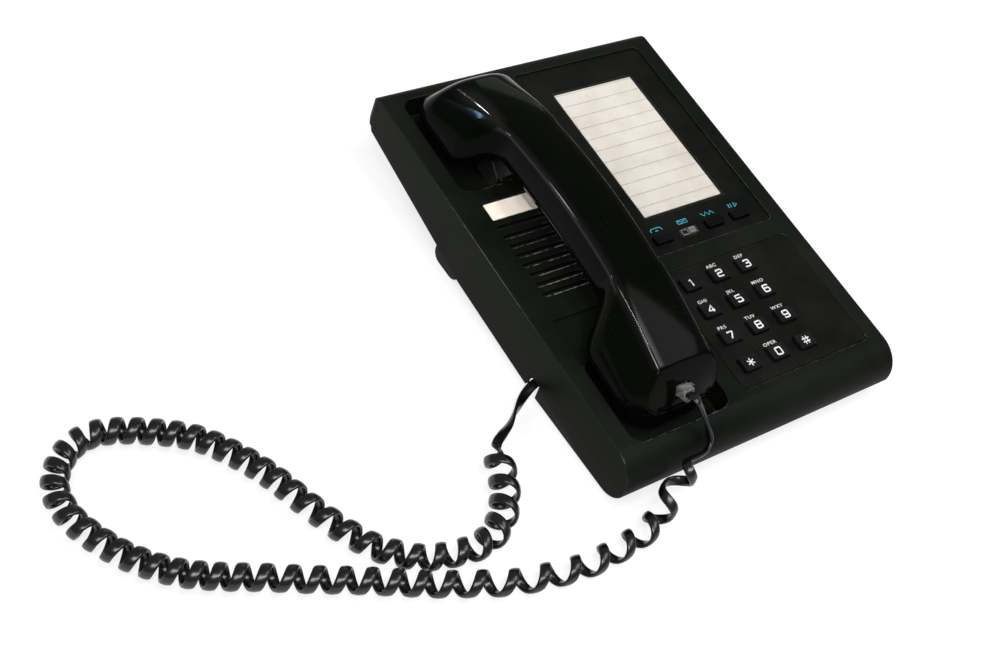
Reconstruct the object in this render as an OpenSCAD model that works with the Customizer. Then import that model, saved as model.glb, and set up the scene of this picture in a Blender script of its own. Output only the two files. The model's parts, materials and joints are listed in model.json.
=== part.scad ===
// Corded desk telephone with a sloping body, a lift-off handset and a curly cord.
// Sizes are in millimetres. Most pieces are placed in the deck frame: x to the right,
// y to the rear along the sloping top face, h square to it, zero at the face's middle.

/* [Body] */
// Width of the body
body_w = 180; // [174:1:200]
// Length of the body along its top face
body_l = 249; // [244:1:265]
// Slope of the top face
deck_tilt = 4.6; // [4:0.1:5.2]
// Height of the middle of the top face above the table
deck_z = 40; // [39:0.5:44]
// Wall thickness of the housings
wall = 2.5; // [2:0.1:3]
// Radius of the rounded front edge
nose_r = 16; // [14:0.5:18]
// Radius of the rear top edge
rear_r = 7; // [4:0.5:8]
// Rounding of the body's rear corners, seen from above
corner_r = 6; // [4:0.5:7]
// Depth of the body at its rear end
rear_depth = 23; // [22:0.5:26]
// Length of the flat sole under the front
sole_l = 54; // [44:1:64]
// Length of the level stretch behind the sole
level_l = 76.5; // [66:1:84]
// Height of the seam between housing and base above the table
seam_z = 12; // [11:0.5:14]
// Step in of the base below the seam
base_step = 0.4; // [0.3:0.1:1.2]
// Thickness of the base along the rear overhang
base_t = 3; // [2.8:0.1:4]
// Gap along the seam between housing and base
seam_gap = 0.2; // [0.1:0.05:0.4]
// Rim left of the handset wells and right of the panels
side_rim = 10.5; // [9:0.5:13]

/* [Handset] */
// Length of the handset
handset_l = 212; // [206:1:218]
// Width of the grip
grip_w = 32; // [30:0.5:36]
// Height of the grip's sides
grip_t = 15.5; // [14:0.5:17]
// Depth of the grip below its sides
grip_under = 4.5; // [4:0.5:6]
// Width of the ear and mouth ends
cap_w = 58; // [54:1:60]
// Height of the crest of the arched back above the deck
back_h = 41.2; // [40:0.2:46]
// Radius of the arched back
back_r = 310; // [290:5:360]
// Width of the flat back between its two ridges
ridge_w = 30.8; // [28:0.2:32]
// Height of the ends' rim above the deck
rim_h = 6; // [5:0.5:8]
// Distance from the handset's middle to the inner sides of its ends
cap_in = 60; // [56:1:64]
// Slope of the ear and mouth faces
cap_tilt = 14; // [11:0.5:15]
// Lean of the flat end faces
end_lean = 28; // [24:1:32]
// Radius of the ends' corners, seen from above
end_r = 17; // [14:1:20]
// Wall thickness of the handset's shells
shell_t = 2; // [1.6:0.1:2.4]
// Travel drawn for lifting the handset
lift_travel = 80; // [60:5:120]

/* [Handset wells] */
// Gap between the handset's ends and the sides of the wells
well_gap = 1.5; // [1:0.25:2.5]
// Gap in front of the mouth end
well_front = 7; // [6:0.5:8]
// Gap behind the ear end
well_rear = 4.5; // [3:0.5:6]
// Depth of the wells
well_depth = 14; // [13:0.5:15]
// Corner radius of the wells
well_r = 7; // [5:0.5:9]
// Gap under what the handset rests on
seat_gap = 0.3; // [0.2:0.05:0.4]
// Rise of the hook plunger when the handset is off
hook_travel = 4; // [3:0.5:5]

/* [Panels] */
// Strip of the top face between the handset wells and the panels
spine_w = 11; // [9:0.5:13]
// Length of the function panel
function_l = 133; // [128:1:136]
// Length of the dial panel
dial_l = 73.3; // [72:0.1:76]
// Distance from the front of the body to the dial panel
dial_margin = 18.9; // [18:0.1:21]
// Strip of the top face between the two panels
panel_strip = 11.3; // [9:0.1:13]
// Thickness of the panels
panel_t = 2.5; // [2.2:0.1:3]
// Depth of the function panel below the top face
panel_recess = 1; // [0.5:0.1:1.5]
// Clearance around inserted panels, cards and windows
insert_gap = 0.3; // [0.2:0.05:0.4]
// Width of the ledges that carry the panels
ledge_w = 3; // [2.5:0.5:4]
// Thickness of the ledges that carry the panels
ledge_t = 2; // [1.6:0.1:2.4]
// Width of the directory card
card_w = 53.7; // [50:0.1:56]
// Length of the directory card
card_l = 90.2; // [84:0.1:94]
// Thickness of the paper cards
card_t = 0.3; // [0.2:0.05:0.4]
// Thickness of the clear windows
window_t = 0.9; // [0.8:0.05:1]
// Width of the number card
number_w = 49; // [44:1:52]
// Length of the number card, front to rear
number_l = 11; // [9:0.5:12]

/* [Keys] */
// Key spacing across
key_pitch_x = 19.15; // [18:0.05:21]
// Key spacing front to rear
key_pitch_y = 17.25; // [16.5:0.25:18]
// Key width
key_w = 11.4; // [10.5:0.1:13]
// Key length, front to rear
key_l = 8.2; // [7.6:0.1:10]
// Height of the keys above the dial panel
key_rise = 2; // [1.6:0.1:3.6]
// Travel of the keys
key_travel = 1.5; // [1.2:0.1:2.2]
// Running gap around keys and buttons
key_gap = 0.3; // [0.25:0.05:0.5]
// Distance from the panel's sides to the middle of the outer function buttons
button_side = 16.65; // [15.5:0.1:18]
// Gap between neighbouring function buttons
button_space = 5.9; // [4.5:0.1:7.5]
// Length of a function button, front to rear
button_l = 5.2; // [4.5:0.1:6]
// Height of the function buttons above their panel
button_rise = 1.6; // [1.2:0.2:2.4]
// Travel of the function buttons
button_travel = 1.2; // [0.8:0.1:1.4]

/* [Inside] */
// Depth of the main board's top below the top face
board_h = 13; // [12.5:0.25:14]
// Thickness of the main board
board_t = 1.6; // [1.2:0.2:2]
// Thickness of the keypad mat
mat_t = 1.2; // [1:0.1:1.5]
// Radius of the ringer loudspeaker
speaker_r = 24; // [20:0.5:24.5]
// Height of the ringer loudspeaker
speaker_t = 17; // [14:1:18]
// Loudspeaker slots
slots = 8; // [6:1:8]
// Spacing of the loudspeaker slots
slot_pitch = 6.25; // [5.5:0.25:6.5]
// Length of the loudspeaker slots
slot_w = 51; // [44:1:54]
// Width of the loudspeaker slots
slot_l = 2.2; // [1.6:0.1:3]
// Radius of the receiver capsule
receiver_r = 17; // [15:0.5:18]
// Radius of the microphone capsule
microphone_r = 9; // [7:0.5:9.5]

/* [Feet] */
// Height of the front feet
sole_z = 1.5; // [1:0.25:2]
// Radius of the front feet
front_foot_r = 7; // [5:0.5:8]
// Length of the rear feet
rear_foot_l = 22; // [18:1:26]
// Width of the rear feet
rear_foot_w = 14; // [12:1:18]

/* [Cord] */
// Width of the flat cord
cord_w = 5; // [4.6:0.1:5.4]
// Thickness of the flat cord
cord_t = 2.2; // [1.8:0.1:2.4]
// Mean radius of the curls
curl_r = 5.1; // [4.8:0.1:5.4]
// Mean radius of the first curls at the body
first_curl_r = 6.3; // [6:0.1:6.6]

/* [Hidden] */
$fn = 48;

key_names = ["1", "2", "3", "4", "5", "6", "7", "8", "9", "star", "0", "hash"];
button_names = ["left", "", "middle", "right"];
overcut = 1;

// Outline of the body, seen from the side
y_front = -body_l / 2;
y_rear = body_l / 2;
chin_l = 13;
chin_steps = 8;
sole_front_y = y_front + chin_l;
sole_rear_y = sole_front_y + sole_l;
rise_y = sole_rear_y + level_l;
bulge_h = 12;
bulge_lean = 1.5;
rear_low_y = y_rear - 7.5;
function deck_height(z, y) = (z - deck_z - y * sin(deck_tilt)) / cos(deck_tilt);
nose_reach = (y_front + nose_r) * cos(deck_tilt) + nose_r * sin(deck_tilt) - nose_r;
rear_reach = y_rear * cos(deck_tilt) + bulge_h * sin(deck_tilt);
deck_y = -(nose_reach + rear_reach) / 2;
function to_world(p) = [
    p[0],
    deck_y + p[1] * cos(deck_tilt) - p[2] * sin(deck_tilt),
    deck_z + p[1] * sin(deck_tilt) + p[2] * cos(deck_tilt)
];
body_depth = -deck_height(sole_z, sole_rear_y);
rise_slope = (body_depth - rear_depth) / (rear_low_y - rise_y);
function rear_sole_h(y) = -body_depth + rise_slope * (y - rise_y);
function sole_h(y) =
    y < sole_rear_y ? deck_height(sole_z, y) :
    y < rise_y ? -body_depth : rear_sole_h(y);
seam_bend_y = (rear_sole_h(0) + base_t - deck_height(seam_z, 0)) / (-tan(deck_tilt) - rise_slope);

// Handset shape
handset_x = -body_w / 2 + side_rim + well_gap + cap_w / 2;
handset_y = 3;
flare_in = cap_in - 16;
flare_out = cap_in + 6;
edge_r = 430;
back_crown = 0.8;
side_curve = 1.6;
cap_lip = 1.5;
cap_side = 3;
end_t = handset_l / 2 - 11.7;
end_h = back_h - end_t * end_t / (2 * back_r);
stations = 56;
side_steps = 4;
face_screw_t = 30;
sound_in = 24;
sound_pitch = 8;
sound_r = 1.2;
receiver_h = 5;
receiver_tall = 9;
microphone_in = 15;
microphone_h = 4;
microphone_tall = 6;
weight_w = 18;
weight_l = 44;
weight_t = 8;

// Wells in the top face
well_w = cap_w + 2 * well_gap;
panel_w = body_w - 2 * side_rim - well_w - spine_w;
ear_well_y0 = handset_y + cap_in - 15.2;
ear_well_y1 = handset_y + handset_l / 2 + well_rear;
mouth_well_y0 = handset_y - handset_l / 2 - well_front;
mouth_well_y1 = handset_y - cap_in - 4;
relief_l = 25;
relief_h0 = 1.2;
relief_h1 = 4;
pad_w = 8;
pad_l = 12;
pad_x = 17;
pad_t = 88;

// Hook plunger, spring, switch and hanger tab
hook_w = 12;
hook_y0 = ear_well_y0 + 4.7;
hook_y1 = handset_y + cap_in + 6;
hook_y = (hook_y0 + hook_y1) / 2;
hook_slope_l = 8;
hook_drop = 5.7;
hook_base_h = -well_depth + 2.6;
stem_r = 3;
stem_gap = 0.3;
guide_r = 5;
guide_l = 3;
stem_h = -well_depth - wall - guide_l - 0.5;
switch_w = 12.8;
switch_l = 6;
switch_t = 4.5;
tab_w = 14;
tab_t = 2.4;
tab_rise = 1.2;
tab_notch_r = 3.5;

// Panels, cards and keys
panel_x = body_w / 2 - side_rim - panel_w / 2;
panel_r = 3;
dial_y0 = y_front + dial_margin;
dial_y1 = dial_y0 + dial_l;
function_y0 = dial_y1 + panel_strip;
function_y1 = function_y0 + function_l;
function_bottom = panel_recess + panel_t;
card_front = 25;
card_y = function_y0 + card_front + card_l / 2;
window_lip = 1.5;
window_drop = 0.15;
pocket_t = card_t + window_t + window_drop;
number_y = handset_y + 30.5;
key_left = 12.2;
key_back = 2;
key_x0 = panel_x - panel_w / 2 + key_left;
key_r = 1.2;
flange = 1.2;
flange_t = 1.5;
stem_l = 1.2;
key_rear = ledge_w - insert_gap + key_gap + key_l / 2 + flange + key_back;
key_y0 = dial_y1 - key_rear;
button_y = function_y0 + 8.7;
button_pitch = (panel_w - 2 * button_side) / 3;
button_w = button_pitch - button_space;
lens_rise = 0.4;

// Board, mat and screws
dome_r = 3.2;
mat_gap = 0.8;
dome_top = panel_t + key_gap + flange_t + stem_l + key_travel + mat_gap;
post_r = 2.8;
board_x = panel_x;
board_l0 = dial_y0 - 1.5;
board_l1 = button_y + 12;
board_w = panel_w + 2;
post_x = panel_w / 2 - 2;
post_y0 = dial_y0 + 1.6;
post_y1 = button_y + 8.5;
screw_r = 1.2;
screw_gap = 0.1;
screw_head_r = 2.4;
screw_head_t = 1.6;

// Case screws
boss_r = 4;
tube_r = 4.6;
boss_x = body_w / 2 - wall - tube_r - 0.3;
boss_front_in = 44;
boss_front_y = y_front + boss_front_in;
boss_rear_y = 60;
boss_h = 22;
boss_web = 2.5;
case_screw_r = 1.5;
case_head_r = 3;
case_head_t = 2;
case_screw_l = 10;
recess_r = 3.6;

// Modular jacks and plugs
plug_w = 7.6;
plug_t = 6.6;
plug_in = 10;
plug_out = 4.5;
plug_gap = 0.2;
jack_w = 12;
jack_t = 10.4;
jack_l = 11.5;
jack_h = 13;
latch_w = 3.2;
latch_t = 1.3;
base_jack_x = -body_w / 2 + 15;
base_jack_y = -49;
base_jack_z = 8;
jack_wall = 2;
jack_fit = 0.15;
notch_w = 9;
notch_z = 10.5;
channel_w = 13;
line_x = 40;
line_w = 14;
line_t = 11;
line_l = 14;
line_hole_w = 9.8;
line_hole_t = 6.8;
line_inset = 8;
line_h = -bulge_h;

rear_foot_y = 36.5;
rear_foot_r = 6;
rear_foot_in = 3;
front_foot_in = 16;
front_foot_y = y_front + 28.5;

// Placing and shaping helpers
module deck() {
    translate([0, deck_y, deck_z]) rotate([deck_tilt, 0, 0]) children();
}

module along_x(w) {
    rotate([90, 0, 90]) linear_extrude(w, center = true) children();
}

module rounded(w, l, r) {
    square([w - 2 * r, l], center = true);
    square([w, l - 2 * r], center = true);
    for (sx = [-1, 1], sy = [-1, 1])
        translate([sx * (w / 2 - r), sy * (l / 2 - r)]) circle(r);
}

module slab(w, l, r, h0, h1) {
    translate([0, 0, h0]) linear_extrude(h1 - h0) rounded(w, l, r);
}

module post(r, h0, h1) {
    translate([0, 0, h0]) cylinder(r = r, h = h1 - h0);
}

module block(x0, x1, y0, y1, h0, h1) {
    translate([x0, y0, h0]) cube([x1 - x0, y1 - y0, h1 - h0]);
}

// Outline of the body from the side, drawn in by i and raised at the bottom by rise
module body_profile(i, rise) {
    intersection() {
        translate([y_front + nose_r, -nose_r]) circle(nose_r - i);
        translate([y_front, -nose_r]) square(nose_r);
    }
    intersection() {
        translate([y_rear - bulge_lean - rear_r, -rear_r]) circle(rear_r - i);
        translate([y_rear - bulge_lean - rear_r, -rear_r]) square(rear_r);
    }
    chin_d = -deck_height(sole_z, sole_front_y) - nose_r - 1;
    polygon([
        [y_front + nose_r, -i],
        [y_rear - bulge_lean - rear_r, -i],
        [y_rear - bulge_lean - i, -rear_r],
        [y_rear - i, -bulge_h],
        [rear_low_y - i, -rear_depth + rise],
        [rise_y, -body_depth + rise],
        [sole_rear_y, -body_depth + rise],
        each [for (k = [0 : chin_steps]) let (a = 90 * k / chin_steps)
            [sole_front_y - (chin_l - i) * sin(a), -nose_r - 1 - (chin_d - rise) * cos(a)]],
        [y_front + i, -nose_r]
    ]);
}

// The body's outline across its whole width, with round rear corners
module body_block(i, rise) {
    intersection() {
        along_x(body_w - 2 * i) body_profile(i, rise);
        translate([0, y_rear - i - body_l, 0])
            slab(body_w - 2 * i, 2 * body_l, corner_r - i, -2 * body_depth, overcut);
    }
}

module below_seam(gap) {
    far = body_l;
    polygon([
        [-far, deck_height(seam_z, -far) - gap],
        [seam_bend_y, deck_height(seam_z, seam_bend_y) - gap],
        [far, rear_sole_h(far) + base_t - gap],
        [far, -far],
        [-far, -far]
    ]);
}

// Handset outlines along its length, t from its middle
function ease(a, b, t) = let (k = min(1, max(0, (t - a) / (b - a)))) k * k * (3 - 2 * k);
function flare(t) = ease(flare_in, flare_out, abs(t));
function crest(t) = back_h - t * t / (2 * back_r);
function round_end(t, r) = let (s = max(0, abs(t) - handset_l / 2 + r)) r - sqrt(max(0, r * r - s * s));
function edge_half(t) = grip_w / 2 + (cap_w - grip_w) / 2 * flare(t) - round_end(t, end_r);
function edge_h(t) = (back_h - grip_t - t * t / (2 * edge_r)) * (1 - flare(t)) + rim_h * flare(t);
function cap_h(t) = rim_h - cap_lip - tan(cap_tilt) * (abs(t) - cap_in);
function face_blend(t) = ease(cap_in - 7, cap_in + 3, abs(t));
function face_h(t) = (edge_h(t) - grip_under) * (1 - face_blend(t)) + cap_h(t) * face_blend(t);
function face_half(t) = edge_half(t) - cap_side;
function ridge_half(t) = min(ridge_w / 2, edge_half(t) - 1.5);
function station(k) = handset_l / 2 * sin(180 * k / stations - 90);

// One side of a section from the edge up to the ridge, drawn in by i
function side_points(t, i) = [
    for (k = [0 : side_steps])
        let (
            s = k / side_steps,
            x = ridge_half(t) + (edge_half(t) - ridge_half(t)) * (1 - pow(s, side_curve)) - i,
            h = edge_h(t) + (crest(t) - i - edge_h(t)) * s
        ) [x, h]
];
function flip(points) = [for (k = [len(points) - 1 : -1 : 0]) [-points[k][0], points[k][1]]];
function both_sides(points) = concat(points, flip(points));
function back_section(t, i) = both_sides(concat(side_points(t, i), [[2, crest(t) + back_crown - i]]));
function face_section(t, i) = both_sides([
    [face_half(t) - i, face_h(t) + i],
    [edge_half(t) - i - 0.6, (face_h(t) + edge_h(t)) / 2],
    [edge_half(t) - i, edge_h(t)]
]);
function whole_section(t, i) = both_sides(concat(
    [[face_half(t) - i, face_h(t) + i], [edge_half(t) - i - 0.6, (face_h(t) + edge_h(t)) / 2]],
    side_points(t, i),
    [[2, crest(t) + back_crown - i]]
));

// Skin over a row of rings with equal numbers of points
function ring_faces(rings, n) = concat(
    [for (k = [0 : rings - 2], j = [0 : n - 1]) [k * n + j, k * n + (j + 1) % n, (k + 1) * n + j]],
    [for (k = [0 : rings - 2], j = [0 : n - 1])
        [k * n + (j + 1) % n, (k + 1) * n + (j + 1) % n, (k + 1) * n + j]],
    [[for (j = [n - 1 : -1 : 0]) j]],
    [[for (j = [0 : n - 1]) (rings - 1) * n + j]]
);

module loft(sections, ts) {
    n = len(sections[0]);
    points = [for (k = [0 : len(ts) - 1], p = sections[k]) [p[0], ts[k], p[1]]];
    polyhedron(points, ring_faces(len(ts), n), convexity = 8);
}

module handset_ends(i) {
    for (m = [0, 1]) mirror([0, m, 0])
        translate([0, end_t, end_h]) rotate([end_lean, 0, 0])
            block(-cap_w, cap_w, -i, cap_w, -body_depth * 2, body_depth * 2);
}

module handset_cavity() {
    ts = [for (k = [0 : stations]) station(k) * (handset_l - 2 * shell_t) / handset_l];
    difference() {
        loft([for (t = ts) whole_section(t, shell_t)], ts);
        handset_ends(shell_t);
    }
}

module in_handset() {
    deck() translate([handset_x, handset_y, 0]) children();
}

// Frame on the mouth end's flat face: y outwards, z up the face
module mouth_face() {
    mirror([0, 1, 0]) translate([0, end_t + (end_h - jack_h) * tan(end_lean), jack_h])
        rotate([end_lean, 0, 0]) children();
}

// Frame on the base jack's mouth: y outwards, which is to the left
module base_face() {
    translate([base_jack_x, base_jack_y, base_jack_z]) rotate([0, 0, 90]) children();
}

// Housing, base and feet
module well(y0, y1, grow, h0, h1) {
    translate([handset_x, (y0 + y1) / 2, 0])
        slab(well_w + 2 * grow, y1 - y0 + 2 * grow, well_r + grow, h0, h1);
}

module handset_pads() {
    for (s = [-1, 1], x = [-pad_x, pad_x]) {
        y0 = min(s * (pad_t - pad_l / 2), s * (pad_t + pad_l / 2));
        translate([handset_x + x, handset_y, 0]) along_x(pad_w) polygon([
            [y0, -well_depth - wall / 2],
            [y0 + pad_l, -well_depth - wall / 2],
            [y0 + pad_l, cap_h(y0 + pad_l) - seat_gap],
            [y0, cap_h(y0) - seat_gap]
        ]);
    }
}

module relief(grow, top) {
    translate([handset_x, mouth_well_y1, 0]) along_x(well_w + 2 * grow) polygon([
        [-wall, -relief_h1 - grow],
        [relief_l + grow, -relief_h0 - grow],
        [relief_l + grow, top],
        [-wall, top]
    ]);
}

module panel_pocket(y0, y1, h, grow) {
    w = panel_w + 2 * insert_gap + 2 * grow;
    l = y1 - y0 + 2 * insert_gap + 2 * grow;
    translate([panel_x, (y0 + y1) / 2, 0]) slab(w, l, panel_r + insert_gap, -h, overcut);
}

module ledge_block(y0, y1, h) {
    w = panel_w + 2 * insert_gap + 2 * wall;
    l = y1 - y0 + 2 * insert_gap + 2 * wall;
    translate([panel_x, (y0 + y1) / 2, 0]) slab(w, l, panel_r + wall, -h - ledge_t, -wall / 2);
}

module case_screw_places() {
    for (x = [-boss_x, boss_x], y = [boss_front_y, boss_rear_y]) translate([x, y, 0]) children();
}

module board_screw_places() {
    for (x = [-post_x, post_x], y = [post_y0, post_y1]) translate([panel_x + x, y, 0]) children();
}

// Square tunnel from the line jack's face out to the rear
module line_block(w, t, y1) {
    block(line_x - w / 2, line_x + w / 2, y_rear - line_inset, y1, line_h - t / 2, line_h + t / 2);
}

module upper_housing() {
    color("#1b1c1b") deck() difference() {
        union() {
            difference() {
                body_block(0, 0);
                difference() {
                    body_block(wall, wall);
                    line_block(line_w, line_t, y_rear);
                }
            }
            well(ear_well_y0, ear_well_y1, wall, -well_depth - wall, -wall / 2);
            well(mouth_well_y0, mouth_well_y1, wall, -well_depth - wall, -wall / 2);
            relief(wall, -wall / 2);
            ledge_block(function_y0, function_y1, function_bottom);
            ledge_block(dial_y0, dial_y1, panel_t);
            translate([handset_x, hook_y, 0]) post(guide_r, -well_depth - wall - guide_l, -well_depth);
            case_screw_places() post(boss_r, -boss_h, -wall / 2);
            board_screw_places() post(post_r, -board_h, -panel_t - ledge_t / 2);
            translate([handset_x, number_y, 0])
                slab(number_w + 2 * wall, number_l + 2 * wall, 1, -pocket_t - wall, -wall / 2);
        }
        along_x(body_w + 2 * overcut) below_seam(0);
        difference() {
            union() {
                well(ear_well_y0, ear_well_y1, 0, -well_depth, overcut);
                well(mouth_well_y0, mouth_well_y1, 0, -well_depth, overcut);
            }
            handset_pads();
        }
        relief(0, overcut);
        panel_pocket(function_y0, function_y1, function_bottom, 0);
        panel_pocket(function_y0, function_y1, function_bottom + ledge_t + overcut, -ledge_w);
        panel_pocket(dial_y0, dial_y1, panel_t, 0);
        panel_pocket(dial_y0, dial_y1, panel_t + ledge_t + overcut, -ledge_w);
        translate([handset_x, hook_y, 0]) post(stem_r + stem_gap, stem_h - overcut, overcut);
        case_screw_places() post(case_screw_r + screw_gap, -boss_h - overcut, -boss_h + case_screw_l);
        board_screw_places() post(screw_r + screw_gap, -board_h - overcut, -panel_t - ledge_t);
        translate([handset_x, number_y, 0]) slab(
            number_w + 2 * insert_gap, number_l + 2 * insert_gap, 0.6, -pocket_t, overcut);
        for (k = [0 : slots - 1])
            translate([handset_x, speaker_y() + (k - (slots - 1) / 2) * slot_pitch, 0])
                slab(slot_w, slot_l, slot_l / 3, -wall - overcut, overcut);
        line_block(line_hole_w, line_hole_t, y_rear + overcut);
    }
}

function speaker_y() = handset_y - 2.2;

module base_shell() {
    color("#242422") difference() {
        union() {
            deck() intersection() {
                union() {
                    difference() {
                        body_block(base_step, 0);
                        body_block(base_step + wall, wall);
                    }
                    case_screw_places() post(tube_r, -body_depth - overcut, -boss_h - seam_gap);
                    translate([handset_x, hook_y, 0]) slab(
                        switch_w + 2 * wall, switch_l + 2 * wall, 1, -body_depth, switch_h());
                }
                along_x(body_w - 2 * base_step) union() {
                    intersection() {
                        body_profile(base_step, 0);
                        below_seam(seam_gap);
                    }
                    intersection() {
                        body_profile(base_step, 0);
                        translate([y_front, -body_depth]) square([body_l, body_depth - boss_h]);
                    }
                }
                union() {
                    along_x(body_w) below_seam(seam_gap);
                    case_screw_places() post(tube_r, -body_depth - overcut, 0);
                    translate([handset_x, hook_y, 0])
                        slab(switch_w + 2 * wall, switch_l + 2 * wall, 1, -body_depth, 0);
                }
            }
            translate([base_jack_x, base_jack_y, 0]) block(
                -15 + base_step + jack_wall, jack_l + jack_fit + jack_wall,
                -jack_w / 2 - jack_fit - jack_wall, jack_w / 2 + jack_fit + jack_wall,
                sole_z, base_jack_z + jack_t / 2 + jack_fit + jack_wall);
        }
        deck() case_screw_places() {
            post(case_screw_r + screw_gap, -body_depth - overcut, 0);
            post(recess_r, -body_depth - overcut, -boss_h - seam_gap - boss_web);
        }
        translate([base_jack_x, base_jack_y, base_jack_z]) {
            block(-jack_fit, jack_l + jack_fit, -jack_w / 2 - jack_fit, jack_w / 2 + jack_fit,
                -jack_t / 2 - jack_fit, jack_t / 2 + jack_fit);
            block(-15 + base_step + wall, 0, -channel_w / 2, channel_w / 2,
                -base_jack_z - overcut, jack_t / 2 + jack_fit);
        }
        translate([-body_w / 2, base_jack_y, 0])
            block(-overcut, wall + base_step + overcut, -notch_w / 2, notch_w / 2, -overcut, notch_z);
    }
}

function switch_h() = stem_h - seat_gap - switch_t;

module front_feet() {
    color("#2a2a2a") for (s = [-1, 1])
        translate([s * (body_w / 2 - front_foot_in), front_foot_y, 0]) post(front_foot_r, 0, sole_z);
}

module rear_feet() {
    color("#2a2a2a") difference() {
        for (s = [-1, 1])
            translate([s * (body_w / 2 - rear_foot_in - rear_foot_w / 2), rear_foot_y, rear_foot_l / 2])
                along_x(rear_foot_w) rounded(rear_foot_l, rear_foot_l, rear_foot_r);
        deck() along_x(body_w) union() {
            body_profile(base_step, 0);
            translate([y_front, -boss_h]) square([body_l, boss_h]);
        }
    }
}

module case_screws() {
    seat = -boss_h - seam_gap - boss_web;
    color("silver") deck() case_screw_places() {
        post(case_head_r, seat - case_head_t, seat);
        post(case_screw_r, seat, -boss_h + case_screw_l - overcut);
    }
}

// Panels, cards and windows
module window_pocket(w, l) {
    slab(w + 2 * insert_gap, l + 2 * insert_gap, 0.8, -pocket_t, overcut);
}

module function_panel() {
    l = function_y1 - function_y0;
    color("#171817") deck() difference() {
        translate([panel_x, (function_y0 + function_y1) / 2, 0])
            slab(panel_w, l, panel_r, -function_bottom, -panel_recess);
        translate([panel_x, card_y, -panel_recess])
            window_pocket(card_w + 2 * window_lip, card_l + 2 * window_lip);
        for (k = [0 : 3]) translate([panel_x + (k - 1.5) * button_pitch, button_y, 0])
            slab(button_w + 2 * key_gap, button_l + 2 * key_gap, key_r, -function_bottom - overcut, 0);
    }
}

module directory_card() {
    color("#ddd8c8") deck() translate([panel_x, card_y, -panel_recess - pocket_t])
        slab(card_w, card_l, 0.5, 0, card_t);
}

module directory_window() {
    color([0.9, 0.95, 0.95, 0.3]) deck() translate([panel_x, card_y, -panel_recess - pocket_t])
        slab(card_w + 2 * window_lip, card_l + 2 * window_lip, 0.8, card_t, card_t + window_t);
}

module number_card() {
    color("#e6d8c0") deck() translate([handset_x, number_y, -pocket_t])
        slab(number_w - 0.6, number_l - 0.6, 0.4, 0, card_t);
}

module number_window() {
    color([0.9, 0.95, 0.95, 0.3]) deck() translate([handset_x, number_y, -pocket_t])
        slab(number_w, number_l, 0.6, card_t, card_t + window_t);
}

module key_place(k) {
    translate([key_x0 + (k % 3) * key_pitch_x, key_y0 - floor(k / 3) * key_pitch_y, 0]) children();
}

module dial_panel() {
    color("#1a1b1a") deck() difference() {
        translate([panel_x, (dial_y0 + dial_y1) / 2, 0]) slab(panel_w, dial_l, panel_r, -panel_t, 0);
        for (k = [0 : 11]) key_place(k)
            slab(key_w + 2 * key_gap, key_l + 2 * key_gap, key_r, -panel_t - overcut, overcut);
    }
}

// A cap through its panel, a flange below the panel and a stem over the mat
module push_key(w, l, top, under, col) {
    color(col) {
        slab(w, l, key_r - 0.2, under - key_gap - flange_t / 2, top);
        slab(w + 2 * flange, l + 2 * flange, key_r, under - key_gap - flange_t, under - key_gap);
        slab(w / 2, l / 2, 0.5, under - key_gap - flange_t - stem_l, under - key_gap - flange_t / 2);
    }
}

module dial_key(k) {
    deck() key_place(k) push_key(key_w, key_l, key_rise, -panel_t, "#141514");
}

module function_button(k) {
    deck() translate([panel_x + (k - 1.5) * button_pitch, button_y, 0])
        push_key(button_w, button_l, button_rise - panel_recess, -function_bottom, "#141514");
}

module message_lens() {
    deck() translate([panel_x - button_pitch / 2, button_y, 0])
        push_key(button_w, button_l, lens_rise - panel_recess, -function_bottom, [0.8, 0.82, 0.8, 0.5]);
}

// Board, mat and what sits on them
module main_board() {
    color("#2f5a35") deck() difference() {
        block(board_x - board_w / 2, board_x + board_w / 2, board_l0, board_l1, -board_h - board_t, -board_h);
        board_screw_places() post(screw_r + screw_gap, -board_h - board_t - overcut, 0);
        case_screw_places() post(boss_r + 0.5, -board_h - board_t - overcut, 0);
    }
}

module keypad_mat() {
    w = 2 * (post_x - post_r) - 1;
    y0 = key_y0 - 3 * key_pitch_y - key_l / 2 - flange;
    y1 = button_y + button_l / 2 + flange;
    color("#8a8d8a") deck() difference() {
        union() {
            translate([panel_x, (y0 + y1) / 2, 0]) slab(w, y1 - y0, 2, -board_h, -board_h + mat_t);
            for (k = [0 : 11]) key_place(k) post(dome_r, -board_h + mat_t / 2, -dome_top);
            for (k = [0, 2, 3]) translate([panel_x + (k - 1.5) * button_pitch, button_y, 0])
                post(button_l / 2, -board_h + mat_t / 2, -dome_top - panel_recess);
        }
        translate([panel_x - button_pitch / 2, button_y, 0]) post(dome_r, -board_h - overcut, 0);
    }
}

module message_led() {
    lens_under = function_bottom + key_gap + flange_t + stem_l;
    color("#b0402a") deck() translate([panel_x - button_pitch / 2, button_y, 0]) {
        post(1.9, -board_h, -board_h + 1);
        post(1.5, -board_h, -lens_under - seat_gap);
    }
}

module board_screws() {
    color("silver") deck() board_screw_places() {
        post(screw_head_r, -board_h - board_t - screw_head_t, -board_h - board_t);
        post(screw_r, -board_h - board_t, -panel_t - ledge_t - overcut);
    }
}

// Hook and loudspeaker
module hook_plunger() {
    top = cap_h(cap_in + 6) - seat_gap;
    color("#6d706c") deck() translate([handset_x, 0, 0]) {
        along_x(hook_w) polygon([
            [hook_y0, hook_base_h],
            [hook_y1, hook_base_h],
            [hook_y1, top],
            [hook_y0 + hook_slope_l, top],
            [hook_y0, top - hook_drop]
        ]);
        translate([0, hook_y, 0]) post(stem_r, stem_h, hook_base_h + 1);
    }
}

module hook_spring() {
    color("silver") deck() translate([handset_x, hook_y, 0]) difference() {
        post(stem_r + 2, -well_depth, hook_base_h - seat_gap);
        post(stem_r + stem_gap, -well_depth - overcut, hook_base_h);
    }
}

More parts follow.
